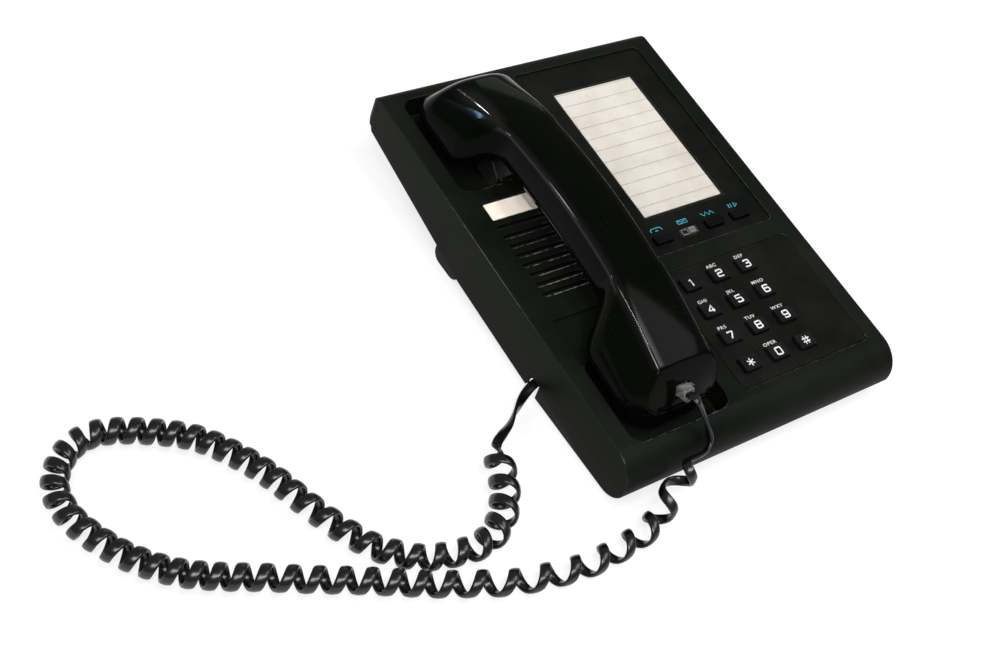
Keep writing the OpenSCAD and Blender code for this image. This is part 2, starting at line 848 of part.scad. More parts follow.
module hook_switch() {
    color("#30302c") deck() translate([handset_x, hook_y, 0]) {
        slab(switch_w, switch_l, 0.5, switch_h(), switch_h() + switch_t - 1);
        post(1.2, switch_h() + switch_t - 1.5, switch_h() + switch_t);
    }
}

module hanger_tab() {
    color("#1b1c1b") deck() translate([handset_x, ear_well_y0 + tab_t / 2, 0]) difference() {
        block(-tab_w / 2, tab_w / 2, -tab_t / 2, tab_t / 2, -well_depth, tab_rise);
        translate([0, 0, tab_rise]) rotate([90, 0, 0])
            cylinder(r = tab_notch_r, h = tab_t * 2, center = true);
    }
}

module speaker_cloth() {
    color("#101010") deck() translate([handset_x, speaker_y(), 0])
        slab(slot_w + 4, slots * slot_pitch - 2, 2, -wall - 0.5, -wall);
}

module ringer_speaker() {
    top = -wall - 0.5;
    color("#4a4a48") deck() translate([handset_x, speaker_y(), top]) rotate_extrude() polygon([
        [speaker_r, 0], [speaker_r, -2], [speaker_r * 0.85, -3], [speaker_r * 0.55, -speaker_t * 0.5],
        [speaker_r * 0.55, -speaker_t], [0, -speaker_t], [0, -speaker_t * 0.45],
        [speaker_r * 0.3, -speaker_t * 0.4], [speaker_r * 0.88, -1], [speaker_r * 0.88, 0]
    ]);
}

// Handset and what it holds
module handset_back() {
    ts = [for (k = [0 : stations]) station(k)];
    color("#0f110f") in_handset() difference() {
        union() {
            difference() {
                loft([for (t = ts) back_section(t, 0)], ts);
                handset_ends(0);
                handset_cavity();
            }
            for (t = [-face_screw_t, face_screw_t]) translate([0, t, 0])
                post(3.2, edge_h(t) + 1.2, crest(t) - shell_t / 2);
        }
        for (t = [-face_screw_t, face_screw_t]) translate([0, t, 0])
            post(screw_r + screw_gap, edge_h(t), edge_h(t) + 9);
        mouth_face() block(
            -plug_w / 2 - 2 * plug_gap, plug_w / 2 + 2 * plug_gap, -shell_t - overcut, overcut,
            -plug_t / 2 - 2 * plug_gap, plug_t / 2 + 2 * plug_gap);
    }
}

module handset_face() {
    ts = [for (k = [0 : stations]) station(k)];
    color("#0f110f") in_handset() difference() {
        union() {
            difference() {
                loft([for (t = ts) face_section(t, 0)], ts);
                handset_ends(0);
                handset_cavity();
            }
            for (t = [-face_screw_t, face_screw_t]) translate([0, t, 0])
                post(4, face_h(t) + shell_t / 2, edge_h(t) + 1);
        }
        for (t = [-face_screw_t, face_screw_t]) translate([0, t, 0]) {
            post(screw_r + screw_gap, face_h(t) - overcut, edge_h(t) + 2);
            post(screw_head_r + 0.3, face_h(t) - overcut, edge_h(t) - 1);
        }
        for (s = [-1, 1], x = [-1, 0, 1], y = [-1, 0, 1])
            translate([x * sound_pitch, s * (cap_in + sound_in) + y * sound_pitch, cap_h(cap_in + sound_in)])
                rotate([-s * cap_tilt, 0, 0]) post(sound_r, -2 * shell_t, 2 * shell_t);
    }
}

module handset_screws() {
    color("silver") in_handset() for (t = [-face_screw_t, face_screw_t]) translate([0, t, 0]) {
        post(screw_head_r, edge_h(t) - 1 - screw_head_t, edge_h(t) - 1);
        post(screw_r, edge_h(t) - 1.5, edge_h(t) + 8);
    }
}

module in_cap(s, t) {
    in_handset() translate([0, s * t, cap_h(t)]) rotate([-s * cap_tilt, 0, 0])
        translate([0, 0, shell_t + seat_gap]) children();
}

module receiver_capsule() {
    color("#b9b9b4") in_cap(1, cap_in + sound_in) {
        post(receiver_r, 0, receiver_h);
        post(receiver_r * 0.7, 0, receiver_tall);
    }
}

module microphone_capsule() {
    color("#c9b26b") in_cap(-1, cap_in + microphone_in) {
        post(microphone_r, 0, microphone_h);
        post(microphone_r * 0.75, 0, microphone_tall);
    }
}

module handset_weight() {
    bottom = edge_h(0) - grip_under + shell_t + seat_gap;
    color("#777a7d") in_handset()
        block(-weight_w / 2, weight_w / 2, -weight_l / 2, weight_l / 2, bottom, bottom + weight_t);
}

module jack_body() {
    difference() {
        block(-jack_w / 2, jack_w / 2, -jack_l, 0, -jack_t / 2, jack_t / 2);
        block(-plug_w / 2 - plug_gap, plug_w / 2 + plug_gap, -plug_in - 2 * plug_gap, overcut,
            -plug_t / 2 - plug_gap, plug_t / 2 + plug_gap);
    }
}

module plug_body(back) {
    block(-plug_w / 2, plug_w / 2, -plug_in, plug_out, -plug_t / 2, plug_t / 2);
    block(-latch_w / 2, latch_w / 2, back, plug_out, -plug_t / 2 - latch_t, -plug_t / 2 + 0.2);
}

module handset_jack() {
    color("#1c1c1c") in_handset() mouth_face() translate([0, -shell_t, 0]) jack_body();
}

module cord_plug_handset() {
    color([0.85, 0.88, 0.86, 0.5]) in_handset() mouth_face() plug_body(0.8);
}

module base_jack() {
    color("#1c1c1c") base_face() jack_body();
}

module cord_plug_base() {
    color([0.85, 0.88, 0.86, 0.5]) base_face() plug_body(0.8);
}

module line_jack() {
    y1 = y_rear - line_inset;
    color("#1c1c1c") deck() translate([line_x, 0, line_h]) difference() {
        block(-line_w / 2, line_w / 2, y1 - line_l, y1, -line_t / 2, line_t / 2);
        block(-line_hole_w / 2, line_hole_w / 2, y1 - line_l + 2, y1 + overcut,
            -line_hole_t / 2, line_hole_t / 2);
    }
}

// Curly cord: the points of its route, as it leaves the base, lies on the table and climbs to the handset
table_gap = 0.4;
last_curl_r = curl_r + 0.5;
curl_z = curl_r + cord_t / 2 + table_gap;
first_curl_z = first_curl_r + cord_t / 2 + table_gap;
mid_curl_z = (first_curl_z + curl_z) / 2;
lead_in = [
    [-90, -48.5, 7.4], [-97, -51.5, 5.5], [-105, -57, 4.5], [-113, -63, 5], [-120, -67, 6.5]
];
coil_route = [
    [-127, -72, first_curl_z], [-131, -81, first_curl_z], [-135, -91, first_curl_z],
    [-140, -99, first_curl_z], [-147, -107, first_curl_z], [-155, -112, mid_curl_z], [-164, -114, mid_curl_z],
    [-173, -113, curl_z], [-182, -111, curl_z], [-190, -108, curl_z], [-197, -103, curl_z],
    [-205, -96, curl_z], [-213, -84, curl_z], [-218, -74, curl_z], [-223, -62, curl_z],
    [-230, -44, curl_z], [-239, -28, curl_z], [-251, -13, curl_z], [-266, -3, curl_z],
    [-281, 4, curl_z], [-292, 6, curl_z], [-302, 3, curl_z], [-310, -4, curl_z], [-315, -13, curl_z],
    [-316, -22, curl_z], [-314, -33, curl_z], [-308, -46, curl_z], [-300, -58, curl_z],
    [-288, -70, curl_z], [-274, -79, curl_z], [-256, -88, curl_z], [-239, -97, curl_z],
    [-223, -105, curl_z], [-206, -114, curl_z], [-189, -123, curl_z], [-171, -131, curl_z],
    [-159, -136, curl_z], [-143, -140, curl_z], [-125, -143, curl_z], [-109, -143, curl_z],
    [-93, -141.5, curl_z], [-83, -139.5, 7.3], [-75.5, -136, 8.8], [-69.5, -133, 13], [-65.5, -130.8, 19.5],
    [-61.5, -128.5, 26], [-57, -126.5, 29.5]
];
lead_out = [
    [-51, -125.6, 28], [-46, -124.3, 27.2], [-42.8, -121.6, 30], [-44, -116.4, 37.6], [-46.8, -110.8, 45.3]
];
route_w = 180;
route_l = 246.8;
route_shift = [(route_w - body_w) / 2, (route_l - body_l) / 2, 0];
base_end = [base_jack_x - plug_out, base_jack_y, base_jack_z];
handset_out = [0, -cos(end_lean - deck_tilt), sin(end_lean - deck_tilt)];
handset_end = to_world([
    handset_x,
    handset_y - end_t - (end_h - jack_h) * tan(end_lean) - plug_out * cos(end_lean),
    jack_h + plug_out * sin(end_lean)
]);
route = concat(
    [base_end, base_end - [cord_w, 0, 0]],
    [for (p = concat(lead_in, coil_route, lead_out)) p + route_shift],
    [handset_end + handset_out * cord_w, handset_end]
);
route_steps = 6;

// Smooth path through the route's points, and the distance along it
function mix(a, b, c, d, k) =
    0.5 * (2 * b + (c - a) * k + (2 * a - 5 * b + 4 * c - d) * k * k + (3 * b - a - 3 * c + d) * k * k * k);
function route_at(k) = route[min(len(route) - 1, max(0, k))];
path = concat(
    [for (k = [0 : len(route) - 2], j = [0 : route_steps - 1])
        mix(route_at(k - 1), route_at(k), route_at(k + 1), route_at(k + 2), j / route_steps)],
    [handset_end]
);
path_gaps = [for (k = [0 : len(path) - 2]) norm(path[k + 1] - path[k])];
path_s = [for (d = 0, k = 0; k < len(path); d = d + (k < len(path_gaps) ? path_gaps[k] : 0), k = k + 1) d];
path_x = [for (k = [0 : len(path) - 1]) [path_s[k], path[k][0]]];
path_y = [for (k = [0 : len(path) - 1]) [path_s[k], path[k][1]]];
path_z = [for (k = [0 : len(path) - 1]) [path_s[k], path[k][2]]];
path_l = path_s[len(path_s) - 1];
coil_start = path_s[(len(lead_in) + 2) * route_steps];
coil_end = path_s[(len(lead_in) + 1 + len(coil_route)) * route_steps];
coil_l = coil_end - coil_start;

function unit(v) = v / norm(v);
function path_at(s) = [lookup(s, path_x), lookup(s, path_y), lookup(s, path_z)];
function heading(s) = unit(path_at(min(path_l, s + 2)) - path_at(max(0, s - 2)));
function sideways(s) = unit(cross([0, 0, 1], heading(s)));
function spoke(s, a) = cos(a) * sideways(s) + sin(a) * cross(heading(s), sideways(s));

// Pitch and radius of the curls, by distance along the coil
function curl_pitch(d) = lookup(d, [
    [0, 11.5], [60, 11.2], [80, 10.7], [140, 10.4], [160, 8.4],
    [360, 8.4], [385, 10.9], [450, 11.5], [480, 15], [570, 16], [590, 19]
]);
function curl_radius(d) =
    lookup(d, [[0, first_curl_r], [40, first_curl_r], [70, curl_r], [coil_l - 45, curl_r], [coil_l - 20, last_curl_r]])
    * ease(0, 9, d) * ease(0, 6, coil_l - d);

// Rings of the cord: distance along the route and angle about it
curl_sides = 8;
lead_step = 3.5;
half_turn = 180;
coil_rings = [
    for (d = 0, k = 0; d < coil_l; d = d + curl_pitch(d) / curl_sides, k = k + 1)
        [coil_start + d, 90 - k * 360 / curl_sides]
];
last_angle = coil_rings[len(coil_rings) - 1][1];
plug_angle = 90 + 180 * floor((last_angle - 90) / 180);
lead_in_n = ceil((coil_start - cord_w) / lead_step);
lead_out_l = path_l - cord_w - coil_end;
lead_out_n = ceil(lead_out_l / lead_step);
rings = concat(
    [[0, 90 + half_turn]],
    [for (k = [0 : lead_in_n - 1])
        [cord_w + (coil_start - cord_w) * k / lead_in_n, 90 + half_turn * (1 - ease(0, 1, k / lead_in_n))]],
    coil_rings,
    [for (k = [1 : lead_out_n])
        [coil_end + lead_out_l * k / lead_out_n,
            last_angle + (plug_angle - last_angle) * ease(0, 1, k / lead_out_n)]],
    [[path_l, plug_angle]]
);
function ring_centre(k) = let (s = rings[k][0], d = s - coil_start)
    path_at(s) + (d > 0 && d < coil_l ? curl_radius(d) * spoke(s, rings[k][1]) : [0, 0, 0]);
centres = [for (k = [0 : len(rings) - 1]) ring_centre(k)];
last_ring = len(rings) - 1;
function run(k) =
    k == 0 ? [-1, 0, 0] :
    k == last_ring ? -handset_out :
    unit(centres[k + 1] - centres[k - 1]);
function cord_ring(k) = let (
        along = run(k),
        radial = spoke(rings[k][0], rings[k][1]),
        thin = unit(radial - along * (radial * along)),
        wide = cross(along, thin),
        a = cord_w / 2,
        b = cord_w / 2 - cord_t * 0.4,
        c = cord_t / 2
    ) [for (p = [[a, 0], [b, c], [-b, c], [-a, 0], [-b, -c], [b, -c]])
        centres[k] + p[0] * wide + p[1] * thin];

module handset_cord() {
    skin = [for (k = [0 : last_ring]) cord_ring(k)];
    near = [for (k = [0 : last_ring - 14], m = [6 : 14], p = skin[k], q = skin[k + m]) norm(p - q)];
    apart = [
        for (k = [0 : 4 : len(path) - 1], m = [k + 40 : 4 : len(path) - 1])
            norm(path[k] - path[m]) - 2 * curl_r - cord_t
    ];
    echo(least_gap_between_curls = min(near), least_gap_between_legs = min(apart));
    echo(cord_length = path_l, coil_length = coil_l, curls = len(coil_rings) / curl_sides);
    echo(lowest = min([for (r = skin, p = r) p[2]]));
    color("#121312") polyhedron([for (r = skin, p = r) p], ring_faces(len(rings), 6), convexity = 10);
}

upper_housing();
base_shell();
function_panel();
dial_panel();
directory_card();
directory_window();
number_card();
number_window();
for (k = [0 : 11]) dial_key(k);
for (k = [0, 2, 3]) function_button(k);
message_lens();
message_led();
keypad_mat();
main_board();
board_screws();
hook_plunger();
hook_spring();
hook_switch();
hanger_tab();
speaker_cloth();
ringer_speaker();
handset_back();
handset_face();
receiver_capsule();
microphone_capsule();
handset_weight();
handset_jack();
handset_screws();
base_jack();
line_jack();
handset_cord();
cord_plug_handset();
cord_plug_base();
case_screws();
front_feet();
rear_feet();
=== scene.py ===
import json
from bisect import bisect_right
from math import ceil, cos, floor, pi, radians, sin, sqrt, tan

import bmesh
import bpy
from mathutils import Matrix, Quaternion, Vector

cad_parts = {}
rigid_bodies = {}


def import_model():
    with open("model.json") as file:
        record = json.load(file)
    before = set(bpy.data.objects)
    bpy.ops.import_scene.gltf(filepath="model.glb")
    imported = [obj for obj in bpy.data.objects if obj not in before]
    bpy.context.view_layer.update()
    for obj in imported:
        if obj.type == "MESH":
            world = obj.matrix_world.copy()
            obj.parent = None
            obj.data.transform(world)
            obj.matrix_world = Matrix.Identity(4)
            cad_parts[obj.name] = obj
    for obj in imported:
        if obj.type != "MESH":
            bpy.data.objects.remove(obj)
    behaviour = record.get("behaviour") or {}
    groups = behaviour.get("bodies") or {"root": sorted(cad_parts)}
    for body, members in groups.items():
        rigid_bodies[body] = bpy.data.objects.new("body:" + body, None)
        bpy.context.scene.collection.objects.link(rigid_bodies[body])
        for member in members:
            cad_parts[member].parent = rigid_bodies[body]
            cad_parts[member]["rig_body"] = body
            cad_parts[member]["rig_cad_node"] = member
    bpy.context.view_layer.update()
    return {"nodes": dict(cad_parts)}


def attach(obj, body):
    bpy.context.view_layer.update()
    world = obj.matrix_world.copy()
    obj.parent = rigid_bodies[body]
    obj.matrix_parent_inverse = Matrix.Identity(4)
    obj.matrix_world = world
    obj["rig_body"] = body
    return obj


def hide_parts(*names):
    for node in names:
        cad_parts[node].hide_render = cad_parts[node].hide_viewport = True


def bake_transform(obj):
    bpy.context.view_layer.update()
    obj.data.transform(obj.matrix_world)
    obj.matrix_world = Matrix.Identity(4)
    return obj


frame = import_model()
mm = 0.001

# The deck is the telephone's top face, tilted about X; the handset lies along it
deck = {"tilt": radians(4.6), "y": -1.096, "z": 40.0}
deckMatrix = Matrix.Translation((0, deck["y"] * mm, deck["z"] * mm)) @ Matrix.Rotation(deck["tilt"], 4, "X")
handsetSpot = {"x": -49.0, "y": 3.0}


def onDeck(x, y, z=0.0):
    return deckMatrix @ Matrix.Translation((x * mm, y * mm, z * mm))


handsetMatrix = onDeck(handsetSpot["x"], handsetSpot["y"])


def pickOnly(piece):
    bpy.ops.object.select_all(action="DESELECT")
    piece.select_set(True)
    bpy.context.view_layer.objects.active = piece


# Runs one of Blender's add operators and names what it makes
def addPiece(name, add, **values):
    bpy.ops.object.select_all(action="DESELECT")
    add(**values)
    piece = bpy.context.active_object
    piece.name = name
    return piece


def openMesh(piece):
    pickOnly(piece)
    bpy.ops.object.mode_set(mode="EDIT")
    bpy.ops.mesh.select_all(action="DESELECT")


def closeMesh():
    bpy.ops.object.mode_set(mode="OBJECT")


# A face looks along an axis when its normal passes this
faceAim = 0.9


# Selects the faces or edges that pass a test
def choose(piece, kind, test):
    bpy.ops.mesh.select_mode(type=kind)
    bpy.ops.mesh.select_all(action="DESELECT")
    mesh = bmesh.from_edit_mesh(piece.data)
    for element in mesh.faces if kind == "FACE" else mesh.edges:
        if test(element):
            element.select_set(True)
    bmesh.update_edit_mesh(piece.data)


# Selects all, and merges the points that lie together
def mergeClose(apart=0.001):
    bpy.ops.mesh.select_all(action="SELECT")
    bpy.ops.mesh.remove_doubles(threshold=apart * mm)


def applyModifier(piece, kind, **values):
    pickOnly(piece)
    modifier = piece.modifiers.new(kind.lower(), kind)
    for name, value in values.items():
        setattr(modifier, name, value)
    bpy.ops.object.modifier_apply(modifier=modifier.name)


def softEdges(piece, width, angle, segments=2):
    limit = {"limit_method": "ANGLE", "angle_limit": angle}
    applyModifier(piece, "BEVEL", width=width * mm, segments=segments, **limit)


def settle(piece, place=None):
    if place is not None:
        piece.matrix_world = place @ piece.matrix_world
    pickOnly(piece)
    bpy.ops.object.transform_apply(location=True, rotation=True, scale=True)


def smooth(piece, angle=35):
    pickOnly(piece)
    bpy.ops.object.shade_smooth_by_angle(angle=radians(angle))


def smoothEven(piece, angle=40, weight=60):
    smooth(piece, angle)
    applyModifier(piece, "WEIGHTED_NORMAL", keep_sharp=True, weight=weight)


def addBlock(name, low, high):
    piece = addPiece(name, bpy.ops.mesh.primitive_cube_add, size=1)
    piece.location = [(a + b) / 2 * mm for a, b in zip(low, high)]
    piece.scale = [(b - a) * mm for a, b in zip(low, high)]
    settle(piece)
    return piece


def addPost(name, radius, low, high, spot, sides=24):
    size = {"radius": radius * mm, "depth": (high - low) * mm}
    piece = addPiece(name, bpy.ops.mesh.primitive_cylinder_add, vertices=sides, **size)
    piece.location = (spot[0] * mm, spot[1] * mm, (low + high) / 2 * mm)
    settle(piece)
    return piece


def joinPieces(pieces, name):
    bpy.ops.object.select_all(action="DESELECT")
    for piece in pieces:
        piece.select_set(True)
    bpy.context.view_layer.objects.active = pieces[0]
    if len(pieces) > 1:
        bpy.ops.object.join()
    pieces[0].name = name
    return pieces[0]


def copyPiece(piece, name):
    pickOnly(piece)
    bpy.ops.object.duplicate()
    double = bpy.context.active_object
    double.name = name
    return double


def cutAway(piece, cutter):
    applyModifier(piece, "BOOLEAN", operation="DIFFERENCE", object=cutter, solver="EXACT")
    bpy.data.objects.remove(cutter)


# A grid rolled into a tube: place(row, column) gives each point, in millimetres
def rollGrid(name, rows, columns, place):
    steps = {"x_subdivisions": columns, "y_subdivisions": rows - 1}
    piece = addPiece(name, bpy.ops.mesh.primitive_grid_add, size=1, **steps)
    for vertex in piece.data.vertices:
        column = round((vertex.co.x + 0.5) * columns) % columns
        row = round((vertex.co.y + 0.5) * (rows - 1))
        vertex.co = Vector(place(row, column)) * mm
    openMesh(piece)
    mergeClose()
    bpy.ops.mesh.select_all(action="DESELECT")
    bpy.ops.mesh.select_mode(type="EDGE")
    bpy.ops.mesh.select_non_manifold()
    bpy.ops.mesh.fill_holes(sides=0)
    bpy.ops.mesh.select_all(action="SELECT")
    bpy.ops.mesh.normals_make_consistent(inside=False)
    closeMesh()
    return piece


def setValues(piece, name, values):
    piece.data.attributes.new(name, "FLOAT", "POINT").data.foreach_set("value", values)


def evenGlintWear(spot):
    return 1.0


# Edges whose normals turn to this direction get a pale painted highlight along with their wear
glintAim = {"facing": Vector((-0.3, 0.5, 0.81)), "near": 0.84}


# Marks the narrow rounded strips along edges: all are polished, and those turned to the light get a pale
# colour, partly wear and partly a painted highlight
def markPolishAndGlint(piece, narrow, glintWearAt=evenGlintWear):
    mesh = bmesh.new()
    mesh.from_mesh(piece.data)
    slim = {f: f.calc_area() / max(e.calc_length() for e in f.edges) < narrow * mm for f in mesh.faces}
    strips = [1.0 if all(slim[f] for f in v.link_faces) else 0.0 for v in mesh.verts]
    lit = [v.normal.dot(glintAim["facing"]) > glintAim["near"] for v in mesh.verts]
    wornAndGlint = [strip * glintWearAt(v.co) if faces else 0.0 for strip, v, faces in zip(strips, mesh.verts, lit)]
    mesh.free()
    setValues(piece, "edgePolish", strips)
    setValues(piece, "edgeRub", wornAndGlint)


nodeEdges = {"merge": 0.002, "flat": radians(0.6), "sharp": radians(30)}


# A copy of a CAD node with its sharp edges rounded, each by widthAt(edge) or all by one width
def roundedNode(node, name, widthAt, segments):
    piece = copyPiece(frame["nodes"][node], name)
    bpy.ops.object.parent_clear(type="CLEAR_KEEP_TRANSFORM")
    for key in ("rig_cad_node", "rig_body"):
        if key in piece:
            del piece[key]
    openMesh(piece)
    mergeClose(nodeEdges["merge"])
    bpy.ops.mesh.dissolve_limited(angle_limit=nodeEdges["flat"])
    mesh = bmesh.from_edit_mesh(piece.data)
    weight = mesh.edges.layers.float.new("bevel_weight_edge")
    closed = [edge for edge in mesh.edges if edge.is_manifold]
    turned = [edge for edge in closed if edge.calc_face_angle(0) > nodeEdges["sharp"]]
    widths = [widthAt(edge) if callable(widthAt) else widthAt for edge in turned]
    widest = max(widths)
    for edge, width in zip(turned, widths):
        edge[weight] = width / widest
    bmesh.update_edit_mesh(piece.data)
    closeMesh()
    bevel = {"width": widest * mm, "segments": segments, "limit_method": "WEIGHT", "use_clamp_overlap": False}
    applyModifier(piece, "BEVEL", **bevel)
    smoothEven(piece)
    return piece


def coat(piece, material):
    piece.data.materials.clear()
    piece.data.materials.append(material)


def finishPiece(piece, body=None, slot=None, replaces=()):
    if replaces:
        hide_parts(*replaces)
    if body:
        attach(piece, body)


def give(piece, material, body=None, slot=None, replaces=()):
    coat(piece, material)
    finishPiece(piece, body, slot, replaces)


photoView = {
    "location": (-451.535, -336.604, 534.341),
    "right": (0.812396, -0.532357, 0.237925),
    "up": (0.284924, 0.718417, 0.634583),
    "back": (-0.508754, -0.447743, 0.735321),
    "lens": 51.777,
    "sensor": 36.0,
}
camera = addPiece("photoCamera", bpy.ops.object.camera_add)
turn = Matrix((photoView["right"], photoView["up"], photoView["back"])).transposed().to_4x4()
camera.matrix_world = Matrix.Translation(Vector(photoView["location"]) * mm) @ turn
camera.data.sensor_width = photoView["sensor"]
camera.data.lens = photoView["lens"]
bpy.context.scene.camera = camera
print("camera placed")


def addNode(tree, kind, inputs=None, **settings):
    node = tree.nodes.new(kind)
    for name, value in settings.items():
        setattr(node, name, value)
    for socket, value in (inputs or {}).items():
        if isinstance(value, bpy.types.NodeSocket):
            tree.links.new(value, node.inputs[socket])
        else:
            node.inputs[socket].default_value = value
    return node


def startGroup(name, inputs, outputs):
    tree = bpy.data.node_groups.new(name, "ShaderNodeTree")
    for label in (*inputs, *outputs):
        side = "INPUT" if label in inputs else "OUTPUT"
        socket = tree.interface.new_socket(name=label, in_out=side, socket_type="NodeSocketFloat")
        if label in inputs:
            socket.default_value = inputs[label]
    return tree, tree.nodes.new("NodeGroupInput").outputs, tree.nodes.new("NodeGroupOutput").inputs


def mathNode(tree, operation, a, b=0.0):
    return addNode(tree, "ShaderNodeMath", {0: a, 1: b}, operation=operation).outputs[0]


def times(tree, a, b):
    return mathNode(tree, "MULTIPLY", a, b)


def mapRange(tree, value, fromLow, fromHigh, toLow=0.0, toHigh=1.0):
    inputs = {"Value": value, "From Min": fromLow, "From Max": fromHigh, "To Min": toLow, "To Max": toHigh}
    return addNode(tree, "ShaderNodeMapRange", inputs).outputs["Result"]


def noise(tree, vector, scale, detail=3.0, roughness=0.55):
    inputs = {"Vector": vector, "Scale": scale, "Detail": detail, "Roughness": roughness}
    return addNode(tree, "ShaderNodeTexNoise", inputs).outputs[0]


def objectPlace(tree):
    return addNode(tree, "ShaderNodeTexCoord").outputs["Object"]


def mapped(tree, vector, values):
    return addNode(tree, "ShaderNodeMapping", {"Vector": vector, **values}).outputs[0]


# Places along the deck rather than level with the table
def levelPlace(tree):
    return mapped(tree, objectPlace(tree), {"Rotation": (-deck["tilt"], 0, 0)})


def cells(tree, vector, scale, randomness=1.0):
    inputs = {"Vector": vector, "Scale": scale, "Randomness": randomness}
    return addNode(tree, "ShaderNodeTexVoronoi", inputs).outputs["Distance"]


def mixColour(tree, factor, first, second):
    first, second = [(*end, 1) if isinstance(end, tuple) else end for end in (first, second)]
    return addNode(tree, "ShaderNodeMix", {0: factor, 6: first, 7: second}, data_type="RGBA").outputs[2]


def bumpNormal(tree, height, strength, depth):
    inputs = {"Strength": strength, "Distance": depth * mm, "Height": height}
    return addNode(tree, "ShaderNodeBump", inputs).outputs["Normal"]


def placeGroup(tree, group, values):
    node = tree.nodes.new("ShaderNodeGroup")
    node.node_tree = group
    for label, value in values.items():
        node.inputs[label].default_value = value
    return node.outputs


def feed(tree, sockets, sources):
    for name, source in sources.items():
        tree.links.new(source, sockets[name])


# Moulded skin: fine sparkle of the tool's texture and slow patches of sheen
tree, given, made = startGroup("mouldGrain", {"Grain": 1600.0, "Patch": 18.0}, ("Height", "Patches"))
mouldGrain = tree
spot = objectPlace(tree)
fine = times(tree, noise(tree, spot, given["Grain"], 2.0, 0.6), 0.6)
pits = times(tree, cells(tree, spot, given["Grain"]), 0.4)
patches = mapRange(tree, noise(tree, spot, given["Patch"], 5.0, 0.62), 0.36, 0.68)
feed(tree, made, {"Height": mathNode(tree, "ADD", fine, pits), "Patches": patches})

# Handling marks: settled dust specks and hairline scratches
tree, given, made = startGroup(
    "handlingMarks", {"Dust Scale": 420.0, "Dust Size": 0.12, "Scratch Scale": 60.0}, ("Dust", "Scratches"))
handlingMarks = tree
spot = objectPlace(tree)
specks = mapRange(tree, cells(tree, spot, given["Dust Scale"]), 0.02, given["Dust Size"], 1.0, 0.0)
speckPatch = mapRange(tree, noise(tree, spot, 30.0), 0.52, 0.7)
drawn = mapped(tree, spot, {"Rotation": (0.3, 0.2, 0.5), "Scale": (9.0, 0.7, 9.0)})
hair = mathNode(tree, "SUBTRACT", noise(tree, drawn, given["Scratch Scale"], 2.0, 0.5), 0.5)
hairLine = mapRange(tree, mathNode(tree, "ABSOLUTE", hair), 0.0, 0.006, 1.0, 0.0)
hairPatch = mapRange(tree, noise(tree, spot, 45.0, 2.0), 0.5, 0.66)
feed(tree, made, {"Dust": times(tree, specks, speckPatch), "Scratches": times(tree, hairLine, hairPatch)})

# Pale edge colour on the strips marked along edges: partly wear, partly a painted highlight on edges turned
# to the light, broken up by noise
tree, given, made = startGroup("edgeRub", {"Break": 120.0}, ("GlintRub", "Polish"))
edgeRub = tree
strip, polished = [
    addNode(tree, "ShaderNodeAttribute", attribute_name=name).outputs["Fac"]
    for name in ("edgeRub", "edgePolish")]
broken = mapRange(tree, noise(tree, objectPlace(tree), given["Break"], 4.0, 0.65), 0.42, 0.6)
feed(tree, made, {"GlintRub": times(tree, strip, broken), "Polish": polished})
print("shader groups built")


def startMaterial(name, fixed):
    material = bpy.data.materials.new(name)
    material.use_nodes = True
    tree = material.node_tree
    shader = tree.nodes["Principled BSDF"]
    for socket, value in fixed.items():
        shader.inputs[socket].default_value = value
    return material, tree, shader.inputs


# Moulded plastic or rubber, from dark to patch colour, with dust, scratches and edges paled partly by wear
# and partly by a painted highlight
plainMould = {
    "gloss": 0.3, "coatRough": 0.14, "patch": 18.0, "break": 120.0, "bump": 0.3, "depth": 0.05,
    "dust": 0.35, "dustColour": (0.32, 0.3, 0.26), "glintRub": 0.5, "glintRubColour": (0.06, 0.06, 0.058),
    "polish": 0.0, "scratchRough": 0.15, "scratchDepth": 0.3,
    "marks": {"Dust Scale": 420.0, "Dust Size": 0.1, "Scratch Scale": 60.0},
}


def mouldedFinish(name, chosen):
    finish = {**plainMould, **chosen}
    material, tree, sockets = startMaterial(name, {
        "Specular IOR Level": finish["gloss"], "IOR": 1.5, "Coat Roughness": finish["coatRough"]})
    grain = placeGroup(tree, mouldGrain, {"Grain": finish["grain"], "Patch": finish["patch"]})
    marks = placeGroup(tree, handlingMarks, finish["marks"])
    glintRub = placeGroup(tree, edgeRub, {"Break": finish["break"]})
    colour = mixColour(tree, grain["Patches"], finish["colour"], finish["patchColour"])
    colour = mixColour(tree, times(tree, marks["Dust"], finish["dust"]), colour, finish["dustColour"])
    # Pale edge colour: partly wear, partly a painted highlight on edges turned to the light
    colour = mixColour(tree, times(tree, glintRub["GlintRub"], finish["glintRub"]), colour, finish["glintRubColour"])
    rough = mapRange(tree, grain["Patches"], 0.0, 1.0, *finish["rough"])
    rough = mathNode(tree, "ADD", rough, times(tree, marks["Scratches"], finish["scratchRough"]))
    scratches = times(tree, marks["Scratches"], finish["scratchDepth"])
    height = mathNode(tree, "SUBTRACT", grain["Height"], scratches)
    normal = bumpNormal(tree, height, finish["bump"], finish["depth"])
    feed(tree, sockets, {"Base Color": colour, "Roughness": rough, "Normal": normal})
    if finish["polish"]:
        feed(tree, sockets, {"Coat Weight": times(tree, glintRub["Polish"], finish["polish"])})
    return material


# Drawn or cast metal: stretched noise for the drawing lines, patches for tarnish
def metalFinish(name, finish):
    material, tree, sockets = startMaterial(name, {"Metallic": 1.0})
    lines = noise(tree, mapped(tree, objectPlace(tree), {"Scale": finish["stretch"]}), finish["scale"])
    grain = placeGroup(tree, mouldGrain, {"Grain": 900.0, "Patch": 90.0})
    feed(tree, sockets, {
        "Base Color": mixColour(tree, grain["Patches"], finish["colour"], finish["tarnish"]),
        "Roughness": mapRange(tree, lines, 0.3, 0.7, *finish["rough"]),
        "Normal": bumpNormal(tree, lines, 0.25, 0.03)})
    return material


